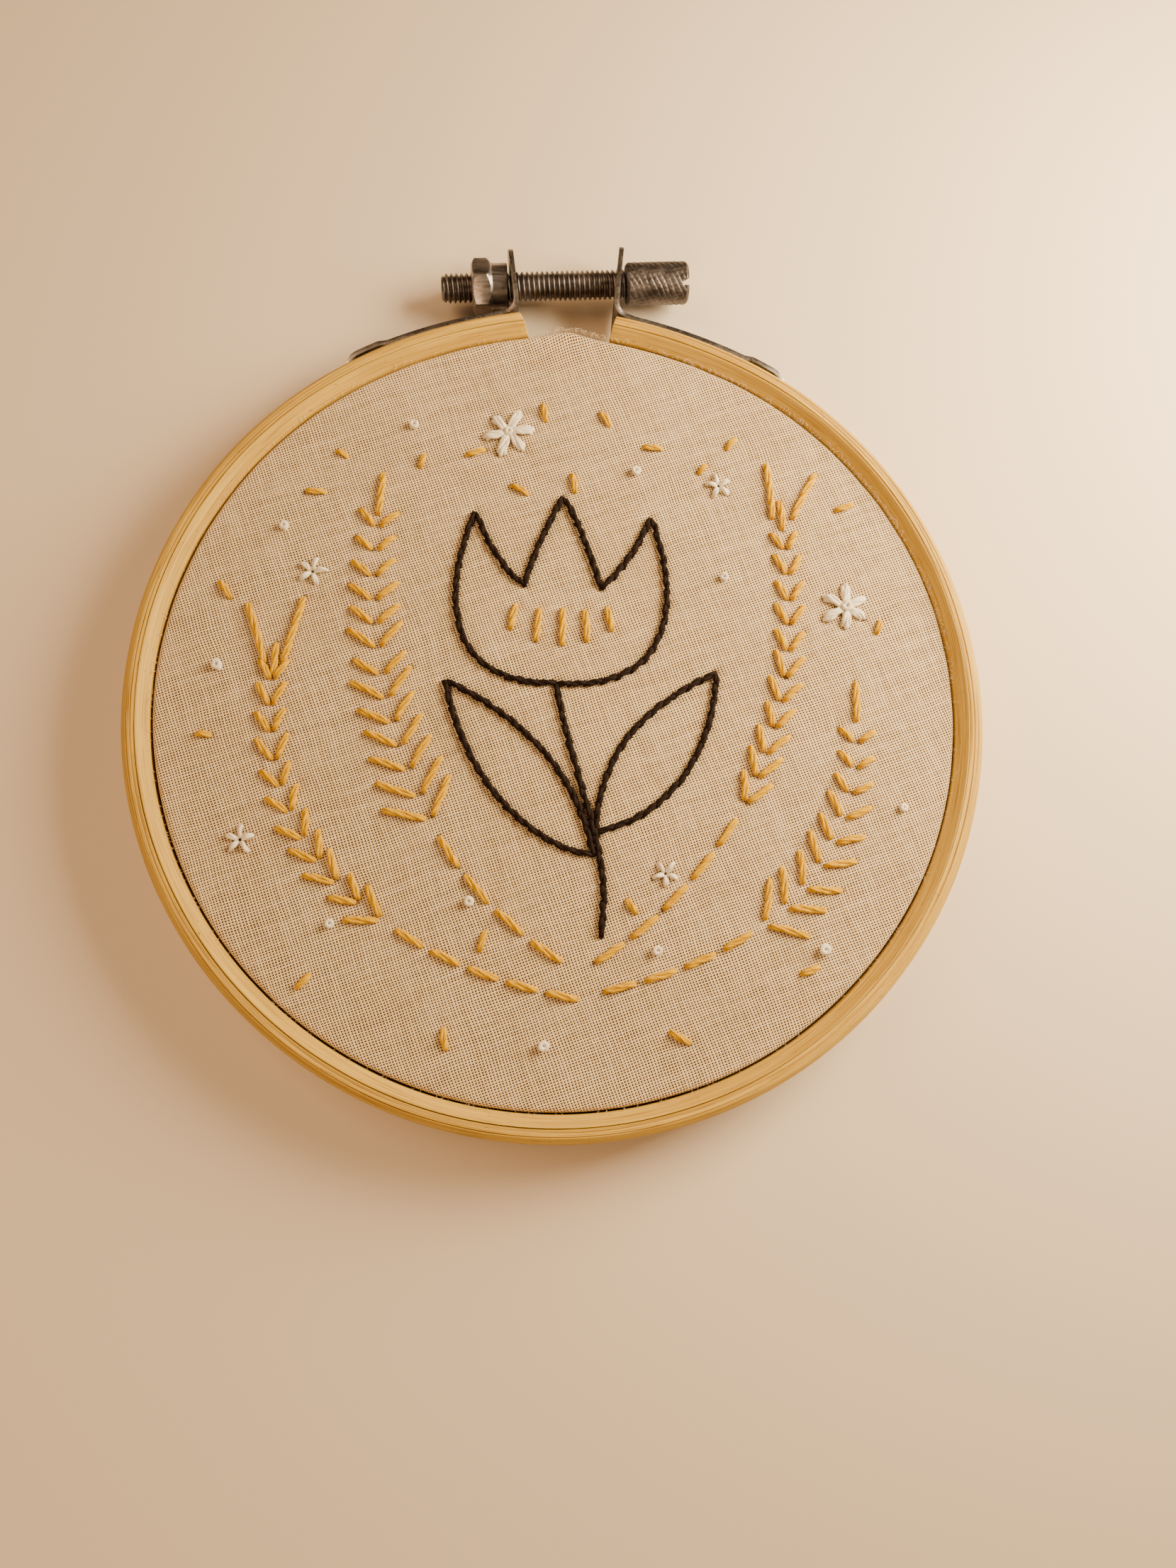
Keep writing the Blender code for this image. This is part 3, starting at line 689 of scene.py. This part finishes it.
def plain_weave_group():
    """Plain weave on the cloth laid flat in millimetres: height, the hole between threads painted as shade, and the
    thread's tone.

    Each set's back is a parabola over its width. The sign of (warp number + weft number) says which set lies over.
    The threads wander, and each one thickens and thins slowly along its length.
    """
    group, source, result = new_group(
        "plain_weave",
        [("Flat", "NodeSocketVector"), ("Warp Pitch", "NodeSocketFloat"), ("Weft Pitch", "NodeSocketFloat")],
        ["Height", "Hole_Shade", "Tone"],
    )
    wander = node(group, "ShaderNodeTexNoise", Scale=0.10, Detail=1.0)
    link(group, source.outputs["Flat"], wander.inputs["Vector"])
    shift = node(group, "ShaderNodeVectorMath", operation="MULTIPLY_ADD")
    link(group, wander.outputs["Color"], shift.inputs[0])
    shift.inputs[1].default_value = (0.9, 0.9, 0)
    link(group, source.outputs["Flat"], shift.inputs[2])
    split = group.nodes.new("ShaderNodeSeparateXYZ")
    link(group, shift.outputs[0], split.inputs[0])
    across = maths(group, "DIVIDE", split.outputs["X"], source.outputs["Warp Pitch"])
    along = maths(group, "DIVIDE", split.outputs["Y"], source.outputs["Weft Pitch"])

    def thread(coordinate, other, seed):
        """One set: how far up its round back, its own number, and its tone."""
        number = maths(group, "FLOOR", coordinate)
        place = maths(group, "SUBTRACT", maths(group, "FRACT", coordinate), 0.5)
        shade = node(group, "ShaderNodeTexWhiteNoise", noise_dimensions="1D")
        link(group, maths(group, "ADD", number, seed), shade.inputs["W"])
        slub = node(group, "ShaderNodeTexNoise", Scale=1.0, Detail=2.0)
        spot = vector(group, maths(group, "MULTIPLY", number, 7.31), maths(group, "MULTIPLY", other, 0.05), seed)
        link(group, spot, slub.inputs["Vector"])
        wide = maths(group, "MULTIPLY_ADD", slub.outputs["Fac"], 0.36, 0.135)
        ratio = maths(group, "DIVIDE", place, wide)
        back = maths(group, "SUBTRACT", 1.0, maths(group, "MULTIPLY", ratio, ratio), clamp=True)
        uneven = maths(group, "MULTIPLY", slub.outputs["Fac"], 0.75)
        return back, number, maths(group, "MULTIPLY_ADD", shade.outputs["Value"], 0.45, uneven)

    warp_back, warp_number, warp_tone = thread(across, along, 3.7)
    weft_back, weft_number, weft_tone = thread(along, across, 41.3)
    total = maths(group, "ABSOLUTE", maths(group, "ADD", warp_number, weft_number))
    sign = maths(group, "MULTIPLY_ADD", maths(group, "MODULO", total, 2.0), 2.0, -1.0)
    lift_warp = maths(group, "ABSOLUTE", maths(group, "SINE", maths(group, "MULTIPLY", along, math.pi)))
    lift_weft = maths(group, "ABSOLUTE", maths(group, "SINE", maths(group, "MULTIPLY", across, math.pi)))
    warp_up = maths(group, "MULTIPLY_ADD", maths(group, "MULTIPLY", sign, lift_warp), 0.35, 0.6)
    weft_up = maths(group, "MULTIPLY_ADD", maths(group, "MULTIPLY", sign, lift_weft), -0.35, 0.6)
    warp_top = maths(group, "MULTIPLY", maths(group, "POWER", warp_back, 0.5), warp_up)
    weft_top = maths(group, "MULTIPLY", maths(group, "POWER", weft_back, 0.5), weft_up)
    warp_over = maths(group, "GREATER_THAN", warp_top, weft_top)
    tone = maths(group, "MULTIPLY_ADD", warp_over, maths(group, "SUBTRACT", warp_tone, weft_tone), weft_tone)
    # Painted shade: where neither thread covers, the hole value darkens the gap, and it also darkens the threads'
    # edges.
    cover = maths(group, "MAXIMUM", warp_back, weft_back)
    link(group, maths(group, "MAXIMUM", warp_top, weft_top), result.inputs["Height"])
    link(group, maths(group, "SUBTRACT", 1.0, cover, clamp=True), result.inputs["Hole_Shade"])
    link(group, tone, result.inputs["Tone"])
    return group


def attribute(tree, name):
    return node(tree, "ShaderNodeAttribute", attribute_name=name).outputs["Fac"]


cotton, tree, shader = new_node_material(
    "undyed_cotton", Roughness=0.92, Specular_IOR_Level=0.15, Sheen_Weight=0.1
)
flat = vector(tree, attribute(tree, "flat_x"), attribute(tree, "flat_y"))
turned_flat = node(tree, "ShaderNodeMapping")
turned_flat.inputs["Rotation"].default_value = (0, 0, -WEAVE_TURN)
link(tree, flat, turned_flat.inputs["Vector"])
weave = placed(
    tree, plain_weave_group(), Flat=turned_flat.outputs[0], Warp_Pitch=WARP_PITCH, Weft_Pitch=WEFT_PITCH
)


def mottle(scale, detail):
    """A soft noise on the flat cloth, with its scale in turns per millimetre."""
    noise = node(tree, "ShaderNodeTexNoise", Scale=scale, Detail=detail, Roughness=0.6)
    link(tree, flat, noise.inputs["Vector"])
    return noise.outputs["Fac"]


WHITE = (1, 1, 1)
base = ramp(tree, mottle(0.09, 4.0), [(0.3, (0.90, 0.73, 0.50)), (0.7, (0.97, 0.82, 0.59))])
for share, source, stops in (
    (1.0, weave["Tone"], [(0.3, (0.91, 0.87, 0.79)), (0.85, WHITE)]),
    (0.3, mottle(1.1, 3.0), [(0.35, (0.72, 0.66, 0.56)), (0.6, WHITE)]),
    # Painted shade in the holes between threads and along the threads' edges.
    (1.0, weave["Hole_Shade"], [(0.12, WHITE), (0.75, (0.11, 0.06, 0.03))]),
    (1.0, mottle(0.9, 1.0), [(0.17, (0.45, 0.3, 0.2)), (0.2, WHITE)]),
    # Painted shade at the needle holes and round the stitches' ends.
    (0.85, attribute(tree, "needle_shade"), [(0.3, WHITE), (0.95, (0.16, 0.09, 0.05))]),
    # Painted shade down in the seam.
    (1.0, attribute(tree, "seam_shade"), [(0.0, WHITE), (1.0, (0.50, 0.36, 0.24))]),
):
    base = layered(tree, share, base, ramp(tree, source, stops))
link(tree, base, shader.inputs["Base Color"])
raised(tree, shader, weave["Height"], 0.9, 0.0001)

cloth = add_piece("woven_cloth", cloth_mesh, "hoop", cotton)
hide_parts("cloth")


# Lint: single cotton fibres that stand out of the cloth where the ring has rubbed it, most of them at the upper
# right and in the ring's gap. Each is a fine hair that leaves the rim and curls over.
LINT_COUNT = 520
LINT_RINGS = 6
LINT_R = 0.019


def tubes(name, paths, radii, sides=6):
    """Round tubes along many paths at once: paths (n, m, 3) and radii (n, m or 1) in millimetres.

    Each ring of points is the path's point plus radius * (side * cos + up * sin). Both ends close to a point.
    """
    n, m = paths.shape[:2]
    radii = radii * np.ones((n, m))
    radii[:, (0, -1)] = 0
    tangent = np.gradient(paths, axis=1)
    tangent /= np.linalg.norm(tangent, axis=2, keepdims=True) + 1e-9
    side = np.cross(tangent, np.array([0.0, 0.0, 1.0]))
    side /= np.linalg.norm(side, axis=2, keepdims=True) + 1e-6
    up = np.cross(side, tangent)
    turn = 2 * math.pi * np.arange(sides) / sides
    ring = side[:, :, None] * np.cos(turn)[:, None] + up[:, :, None] * np.sin(turn)[:, None]
    points = hoop_to_frame(paths[:, :, None] + ring * radii[:, :, None, None])
    run = np.concatenate([np.zeros((n, 1)), np.cumsum(np.linalg.norm(np.diff(paths, axis=1), axis=2), 1)], 1)
    steps = (np.arange(n), np.arange(m - 1), np.arange(sides))
    i, j, k = (a.ravel() for a in np.meshgrid(*steps, indexing="ij"))
    first = (i * m + j) * sides
    k2 = (k + 1) % sides
    corners = np.stack([first + k, first + k2, first + sides + k2, first + sides + k], 1)
    mesh = quad_mesh(name, points, corners)
    around = np.stack([k, k + 1, k + 1, k], 1) / sides
    along = np.stack([run[i, j], run[i, j], run[i, j + 1], run[i, j + 1]], 1)
    set_map(mesh, np.stack([along, around], -1))
    set_values(mesh, "strand", np.repeat(np.random.default_rng(n).uniform(0, 1, n), m * sides))
    return close_mesh(mesh)


def lint_paths(count, seed):
    """Hairs that start on the rim, rise as they leave it and lean over along it by a curl of their own."""
    noise = np.random.default_rng(seed)
    share = noise.uniform(0, 1, count)
    angle = np.where(share < 0.42, noise.uniform(0.25, 1.5, count), noise.uniform(-0.2, 2 * math.pi, count))
    angle = np.where(share > 0.88, noise.uniform(-0.1, 0.1, count), angle)[:, None]
    t = np.linspace(0, 1, LINT_RINGS)[None, :]
    length = noise.uniform(0.35, 1.25, (count, 1))
    curl = noise.uniform(-0.9, 0.9, (count, 1))
    gap = np.cos(math.pi / 2 * np.clip(angle / BULGE_HALF_ANGLE, -1, 1)) ** 2
    out = SEAM_R - 0.25 + spring(angle) + BULGE * gap + 0.55 * length * np.sin(1.4 * t)
    z = CLOTH_Z - 0.12 + 0.42 * length * np.sin(2.2 * t)
    along = angle + curl * length * t**2 / SEAM_R
    return np.stack([out * np.sin(along), out * np.cos(along), z + 0 * out], -1)


paths = lint_paths(LINT_COUNT, 31)
lint_cotton, tree, shader = new_node_material("lint_cotton", Roughness=0.9)
tone = ramp(tree, attribute(tree, "strand"), [(0, (0.70, 0.54, 0.38)), (1, (0.86, 0.72, 0.54))])
link(tree, tone, shader.inputs["Base Color"])
add_piece("lint", tubes("lint", paths, LINT_R, 3), "hoop", lint_cotton)


# The thread: stranded cotton. Each stitch is two or three strands that lie side by side with a slow twist, rise out
# of one hole and sink into the next. The gold is laid in straight stitches, the black in stem stitch.
THREAD_RINGS = 13


def stitch_paths(stitches, strands, radius, width, lift, pitch, seed):
    """The strands of straight stitches: each winds slowly round the stitch's line, flattened on the cloth.

    Height is lift * (1 - exp(-near)) less a sharp drop into the hole, where near is the way to the closer end.
    """
    noise = np.random.default_rng(seed)
    start = np.array([stitch[0] for stitch in stitches], float)
    stop = np.array([stitch[1] for stitch in stitches], float)
    length = np.hypot(*(stop - start).T)[:, None]
    t = np.linspace(0, 1, THREAD_RINGS)[None, :]
    t = 0.7 * (0.5 - 0.5 * np.cos(math.pi * t)) + 0.3 * t
    near = length * np.minimum(t, 1 - t)
    heading = (stop - start) / length
    across = np.stack([-heading[:, 1], heading[:, 0]], 1)
    rise = lift * (1 - np.exp(-near / 0.3)) - 0.42 * np.exp(-near / 0.12)
    spread = 0.3 + 0.7 * (1 - np.exp(-near / 0.6))
    bow = noise.uniform(-0.1, 0.1, (len(start), 1)) * np.sin(math.pi * t) * np.minimum(length / 5, 1.4)
    phase = noise.uniform(0, 2 * math.pi, (len(start), 1))
    paths, radii = [], []
    for k in range(strands):
        turn = phase + 2 * math.pi * (k / strands + length * t / pitch)
        off = width * spread * np.cos(turn) + bow
        up = rise + radius * 0.5 * np.sin(turn) * spread
        place = start[:, None] + heading[:, None] * (length * t)[:, :, None] + across[:, None] * off[:, :, None]
        paths.append(np.concatenate([place, (CLOTH_Z + up)[:, :, None]], 2))
        radii.append(radius * (0.75 + 0.25 * spread) * noise.uniform(0.92, 1.08, (len(start), 1)))
    return np.concatenate(paths), np.concatenate(radii)


def sew(name, floss, stitches, strands, radius, width, lift, pitch, seed):
    """All the stitches of one thread as one piece on the cloth."""
    paths, radii = stitch_paths(stitches, strands, radius, width, lift, pitch, seed)
    add_piece(name, tubes(name, paths, radii), "hoop", floss)


def floss_group():
    """Spun cotton on a map of (length, turn): two plies wound round the strand, and fine fibres."""
    group, source, result = new_group(
        "spun_plies", [("Map", "NodeSocketVector"), ("Strand", "NodeSocketFloat")], ["Ply", "Fibre", "Height"]
    )
    parts = group.nodes.new("ShaderNodeSeparateXYZ")
    link(group, source.outputs["Map"], parts.inputs[0])
    two_turns = maths(group, "MULTIPLY", parts.outputs["Y"], 2.0)
    turn = maths(group, "MULTIPLY_ADD", parts.outputs["X"], 0.8, two_turns)
    ply = maths(group, "ABSOLUTE", maths(group, "SINE", maths(group, "MULTIPLY", turn, math.pi)))
    noise = node(group, "ShaderNodeTexNoise", Scale=1.0, Detail=2.0)
    fibre = vector(
        group,
        maths(group, "MULTIPLY", turn, 5.0),
        maths(group, "MULTIPLY", parts.outputs["X"], 0.6),
        maths(group, "MULTIPLY", source.outputs["Strand"], 40.0),
    )
    link(group, fibre, noise.inputs["Vector"])
    link(group, ply, result.inputs["Ply"])
    link(group, noise.outputs["Fac"], result.inputs["Fibre"])
    link(group, maths(group, "MULTIPLY_ADD", noise.outputs["Fac"], 0.8, ply), result.inputs["Height"])
    return group


spun_plies = floss_group()


def floss(name, colour, shade, roughness, gloss, relief):
    """Dyed floss: painted shade in the grooves between the plies, paler fibre streaks and a soft lustre."""
    material, tree, shader = new_node_material(name, Roughness=roughness, Specular_IOR_Level=gloss)
    uv = node(tree, "ShaderNodeUVMap", uv_map="map").outputs["UV"]
    strand = attribute(tree, "strand")
    plies = placed(tree, spun_plies, Map=uv, Strand=strand)
    fibres = ramp(tree, plies["Fibre"], [(0.35, (0.6, 0.52, 0.45)), (0.6, WHITE)])
    # The shade colour is painted shade, laid in the grooves between the plies.
    base = ramp(tree, plies["Ply"], [(0.0, shade), (0.5, colour)])
    base = layered(tree, 1.0, base, ramp(tree, strand, [(0, (0.90, 0.87, 0.84)), (1, WHITE)]))
    link(tree, layered(tree, 0.35, base, fibres), shader.inputs["Base Color"])
    raised(tree, shader, plies["Height"], 0.5, relief)
    return material


gold_floss = floss(
    "gold_floss", (0.80, 0.49, 0.0), shade=(0.52, 0.27, 0.0), roughness=0.75, gloss=0.03, relief=0.00006
)
sew("gold_stitches", gold_floss, gold, strands=3, radius=0.245, width=0.26, lift=0.36, pitch=7.5, seed=11)
black_floss = floss(
    "black_floss", (0.016, 0.008, 0.007), shade=(0.006, 0.003, 0.003), roughness=0.75, gloss=0.15, relief=0.00005
)
sew("black_outline", black_floss, black, strands=2, radius=0.29, width=0.18, lift=0.36, pitch=3.0, seed=12)


# The white work: small flowers in straight stitches, three to a petal on the larger ones, and knots. A knot is a
# strand wound nearly twice round the needle and drawn down in the middle.
KNOT_R = 0.42
KNOT_TURNS = 1.9
KNOT_STRAND_R = 0.27


def knot_paths(centres, seed):
    """Knots: radius about constant while the angle grows and the height climbs as a sine, then a drop inwards."""
    noise = np.random.default_rng(seed)
    t = np.linspace(0, 1, 30)[None, :]
    last = np.clip((t - 0.85) / 0.15, 0, 1)
    centre = np.array(centres, float)
    turn = noise.uniform(0, 2 * math.pi, (len(centre), 1)) + 2 * math.pi * KNOT_TURNS * t
    radius = KNOT_R - 0.06 * np.sin(4 * t) * (1 - last) - 0.32 * last
    rise = 0.1 + 0.6 * np.sin(np.clip(t / 0.85, 0, 1) * math.pi / 2) - 0.5 * last**2
    size = noise.uniform(0.85, 1.15, (len(centre), 1))
    x = centre[:, :1] + radius * size * np.cos(turn)
    y = centre[:, 1:] + radius * size * np.sin(turn)
    return np.stack([x, y, CLOTH_Z + rise * size], -1), KNOT_STRAND_R * size


white_floss = floss(
    "white_floss", (1.0, 0.97, 0.88), shade=(0.92, 0.86, 0.76), roughness=0.6, gloss=0.3, relief=0.00005
)
sew("white_flowers", white_floss, white, strands=2, radius=0.27, width=0.18, lift=0.42, pitch=4.5, seed=13)
paths, radii = knot_paths(KNOTS, 21)
add_piece("white_knots", tubes("white_knots", paths, radii, 8), "hoop", white_floss)


# The two brackets: strips of thin plated steel along the ring's outside, bent out into ears at the split. The
# strip hugs the bamboo, and its far end is kinked out and bites into it. Its cut edges are slightly rounded.
SEAT_SHIFT = 0.24
SEAT_FROM = math.radians(8.0)
SEAT_TO = math.radians(9.6)
BITE_FROM = math.radians(31.2)
BITE_TO = math.radians(32.8)
BITE_DEPTH = 0.5
RUBBED_FROM = math.radians(31.0)


def eased_copy(node_name, edge):
    """A solid's faces with doubled points merged, flat faces joined and sharp edges rounded by a small radius."""
    shape = bmesh.new()
    shape.from_mesh(frame["nodes"][node_name].data)
    bmesh.ops.remove_doubles(shape, verts=shape.verts, dist=0.002 * MM)
    bmesh.ops.dissolve_limit(shape, angle_limit=math.radians(0.6), verts=shape.verts, edges=shape.edges)
    sharp = [e for e in shape.edges if len(e.link_faces) == 2 and e.calc_face_angle() > math.radians(38)]
    bmesh.ops.bevel(
        shape, geom=sharp, offset=edge * MM, segments=2, profile=0.5, affect="EDGES", clamp_overlap=True
    )
    bmesh.ops.recalc_face_normals(shape, faces=shape.faces)
    mesh = bpy.data.meshes.new(node_name + "_eased")
    shape.to_mesh(mesh)
    shape.free()
    mesh.shade_smooth()
    mesh.set_sharp_from_angle(angle=math.radians(32))
    return mesh


def ease(share):
    """A smooth step from 0 to 1."""
    share = np.clip(share, 0, 1)
    return share * share * (3 - 2 * share)


def seat_strap(mesh):
    """Draw the strap in against the bamboo: the radius shrinks by an eased step past the bend, and again at the tip."""
    co = np.empty(len(mesh.vertices) * 3)
    mesh.vertices.foreach_get("co", co)
    inverse = np.array(hoop_matrix.inverted())
    plan = (co.reshape(-1, 3) @ inverse[:3, :3].T + inverse[:3, 3]) / MM
    angle = np.arctan2(plan[:, 0], plan[:, 1])
    radius = np.hypot(plan[:, 0], plan[:, 1])
    turn = np.abs(angle)
    radius -= SEAT_SHIFT * ease((turn - SEAT_FROM) / (SEAT_TO - SEAT_FROM))
    radius -= BITE_DEPTH * ease((turn - BITE_FROM) / (BITE_TO - BITE_FROM)) ** 2
    plan[:, 0], plan[:, 1] = radius * np.sin(angle), radius * np.cos(angle)
    mesh.vertices.foreach_set("co", hoop_to_frame(plan).reshape(-1))
    mesh.update()
    rubbed = ease((turn - RUBBED_FROM) / (BITE_TO - RUBBED_FROM))
    set_values(mesh, "rubbed", rubbed)
    return mesh


BARE_METAL = (0.85, 0.80, 0.78, 1)


def tarnish_group():
    """Worn plating on object coordinates: slow clouds, scratches long in one direction, and pits."""
    places = [("Place", "NodeSocketVector"), ("Stretched", "NodeSocketVector")]
    group, source, result = new_group("tarnish", places, ["Cloud", "Scratch", "Pit"])
    for label, place, scale, detail in (
        ("Cloud", "Place", 420.0, 5.0), ("Scratch", "Stretched", 1.0, 3.0), ("Pit", "Place", 1900.0, 2.0)
    ):
        noise = node(group, "ShaderNodeTexNoise", Scale=scale, Detail=detail, Roughness=0.65)
        link(group, source.outputs[place], noise.inputs["Vector"])
        link(group, noise.outputs["Fac"], result.inputs[label])
    return group


tarnish = tarnish_group()


def steel(name, colour, dark, roughness, scratch_scale):
    """Dull plated steel: a cloudy tint between two greys, rubbed scratches and small dark pits.

    Where a point's rubbed value is one, as on the strap's end, the tint gives way to bright bare metal.
    """
    material, tree, shader = new_node_material(name, Metallic=1.0)
    place = node(tree, "ShaderNodeTexCoord").outputs["Object"]
    stretched = node(tree, "ShaderNodeMapping")
    stretched.inputs["Scale"].default_value = scratch_scale
    link(tree, place, stretched.inputs["Vector"])
    wear = placed(tree, tarnish, Place=place, Stretched=stretched.outputs[0])
    tint = ramp(tree, wear["Cloud"], [(0.34, dark), (0.62, colour)])
    scratches = ramp(tree, wear["Scratch"], [(0.36, (0.5, 0.45, 0.40)), (0.6, WHITE)])
    pits = ramp(tree, wear["Pit"], [(0.30, (0.35, 0.27, 0.2)), (0.38, WHITE)])
    tint = layered(tree, 0.8, layered(tree, 0.6, tint, scratches), pits)
    bright = layered(tree, attribute(tree, "rubbed"), tint, BARE_METAL, "MIX")
    link(tree, bright, shader.inputs["Base Color"])
    dullness = maths(tree, "MULTIPLY_ADD", wear["Scratch"], 0.35, roughness - 0.17)
    link(tree, dullness, shader.inputs["Roughness"])
    raised(tree, shader, wear["Scratch"], 0.35, 0.00005)
    return material


strap_steel = steel(
    "strap_steel", (0.31, 0.29, 0.30), dark=(0.15, 0.14, 0.14), roughness=0.42, scratch_scale=(2600, 2600, 160)
)
for side in ("left", "right"):
    mesh = seat_strap(eased_copy("bracket_" + side, 0.1))
    bracket = add_piece("bracket_" + side + "_steel", mesh, "hoop", strap_steel)
    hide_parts("bracket_" + side)


# The nut: a turned and plated steel nut with a round collar towards the ear. Its hexagon's corners are chamfered
# on both sides, and its edges are a little rounded by tumbling.
nut_steel = steel(
    "nut_steel", (0.43, 0.41, 0.45), dark=(0.26, 0.245, 0.26), roughness=0.34, scratch_scale=(160, 1800, 1800)
)
nut = add_piece("nut_steel", eased_copy("nut", 0.07), "hoop", nut_steel)
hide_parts("nut")


# The thumb screw: one turned steel piece. A 0.7 mm thread is rolled on its rod, and its knob has a coarse crossed
# knurl, worn nearly smooth in places, and a slot for a coin across its end.
THREAD_PITCH = 0.7
THREAD_DEPTH = 0.42
ROD_R = 1.97
ROD_COLUMNS = 40
KNOB_LENGTH = 8.7
KNOB_COLUMNS = 156
KNOB_ROWS = 120
KNOB_CHAMFER = 0.35
STEEP_KNURL = (11, -0.8)
FLAT_KNURL = (26, 2.6)
KNURL_DEPTH = 0.12
KNURL_WOBBLE = 0.35
SLOT_WIDTH = 0.9
SLOT_DEPTH = 1.0
SLOT_TURN = math.radians(30)
_, SCREW_Y, SCREW_Z = (value / MM for value in frame["joints"][0]["pos_m"])
screw_low, screw_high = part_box("thumb_screw")
ROD_LEFT = screw_low[0] / MM
KNOB_RIGHT = screw_high[0] / MM
KNOB_R = (screw_high[2] - screw_low[2]) / 2 / MM
KNOB_LEFT = KNOB_RIGHT - KNOB_LENGTH


def turned_along_x(name, x, r, turn):
    """A closed surface round the screw's axis from an x and a radius for each row and column of the turn."""
    points = np.stack([x + 0 * r, SCREW_Y + r * np.cos(turn), SCREW_Z + r * np.sin(turn)], -1)
    return close_mesh(grid_mesh(name, points * MM, closed_v=True))


def thread_mesh():
    """The rod: its radius is a blunt triangle wave of (x / pitch - turn), and both its ends close on the axis."""
    x = np.linspace(ROD_LEFT, KNOB_LEFT + 0.3, 400)[:, None]
    turn = np.linspace(0, 2 * math.pi, ROD_COLUMNS, endpoint=False)[None, :]
    phase = (x / THREAD_PITCH - turn / (2 * math.pi)) % 1
    tooth = np.clip(1.25 * (1 - np.abs(2 * phase - 1)) - 0.1, 0, 1)
    tip = 0.5 * np.clip(1 - (x - ROD_LEFT) / 0.6, 0, 1)
    r = np.minimum(ROD_R - THREAD_DEPTH * (1 - tooth), ROD_R - tip)
    x = np.concatenate([x[:1], x, x[-1:]])
    r = np.concatenate([0 * r[:1], r, 0 * r[-1:]])
    return turned_along_x("screw_rod", x, r, turn)


def knob_mesh():
    """The knob: two crossing sets of grooves are cut from a cylinder, less deep where slow waves say it is worn."""
    share = np.linspace(0, 1, KNOB_ROWS)[:, None]
    turn = np.linspace(0, 2 * math.pi, KNOB_COLUMNS, endpoint=False)[None, :]
    x = KNOB_LEFT + KNOB_LENGTH * share
    wobble = KNURL_WOBBLE * slow_waves(x + 0 * turn, KNOB_R * turn + 0 * x, 17, 2.2)
    first, second = (
        np.abs(2 * ((turn / (2 * math.pi) * count + x / lead + wobble) % 1) - 1)
        for count, lead in (STEEP_KNURL, FLAT_KNURL)
    )
    groove = np.maximum(np.clip(1.5 * first - 0.5, 0, 1), 0.6 * np.clip(1.6 * second - 0.6, 0, 1))
    wear = 0.72 + 0.616 * slow_waves(x + 0 * turn, 2.9 * turn + 0 * x, 8, 3.5)
    from_end = np.minimum(x - KNOB_LEFT, KNOB_RIGHT - x)
    r = KNOB_R - KNOB_CHAMFER * np.clip(1 - from_end / KNOB_CHAMFER, 0, 1)
    r = r - KNURL_DEPTH * groove * np.clip(wear, 0.25, 1) * np.clip(from_end / 0.3, 0, 1)
    cap = np.linspace(0, KNOB_R - KNOB_CHAMFER, 5)[:, None] * np.ones_like(turn)
    x = np.concatenate([np.full(cap.shape, KNOB_LEFT), x + 0 * turn, np.full(cap.shape, KNOB_RIGHT)])
    return turned_along_x("screw_knob", x, np.concatenate([cap, r, cap[::-1]]), turn)


def cut_slot(mesh):
    """Take the slot, a box across the knob's end, out of the knob's mesh."""
    body = bpy.data.objects.new("slot_body", mesh)
    box = bmesh.new()
    bmesh.ops.create_cube(box, size=1.0)
    tool_mesh = bpy.data.meshes.new("slot_tool")
    size = Matrix.Diagonal((2 * SLOT_DEPTH * MM, SLOT_WIDTH * MM, 3 * KNOB_R * MM, 1))
    place = Matrix.Translation(Vector((KNOB_RIGHT, SCREW_Y, SCREW_Z)) * MM)
    box.transform(place @ Matrix.Rotation(SLOT_TURN, 4, "X") @ size)
    box.to_mesh(tool_mesh)
    box.free()
    tool = bpy.data.objects.new("slot_tool", tool_mesh)
    for item in (body, tool):
        bpy.context.scene.collection.objects.link(item)
    cut = body.modifiers.new("slot", "BOOLEAN")
    cut.operation = "DIFFERENCE"
    cut.solver = "EXACT"
    cut.object = tool
    result = bpy.data.meshes.new_from_object(body.evaluated_get(bpy.context.evaluated_depsgraph_get()))
    for item in (body, tool):
        bpy.data.objects.remove(item, do_unlink=True)
    result.name = "screw_knob"
    result.shade_smooth()
    result.set_sharp_from_angle(angle=math.radians(50))
    return result


screw_steel = steel(
    "screw_steel", (0.31, 0.29, 0.31), dark=(0.14, 0.13, 0.135), roughness=0.38, scratch_scale=(160, 1500, 1500)
)
knob_steel = steel(
    "knob_steel", (0.19, 0.175, 0.19), dark=(0.085, 0.078, 0.082), roughness=0.48, scratch_scale=(700, 1500, 1500)
)
add_piece("screw_rod", thread_mesh(), "thumb_screw", screw_steel)
knob = add_piece("screw_knob", cut_slot(knob_mesh()), "thumb_screw", knob_steel)
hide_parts("thumb_screw")
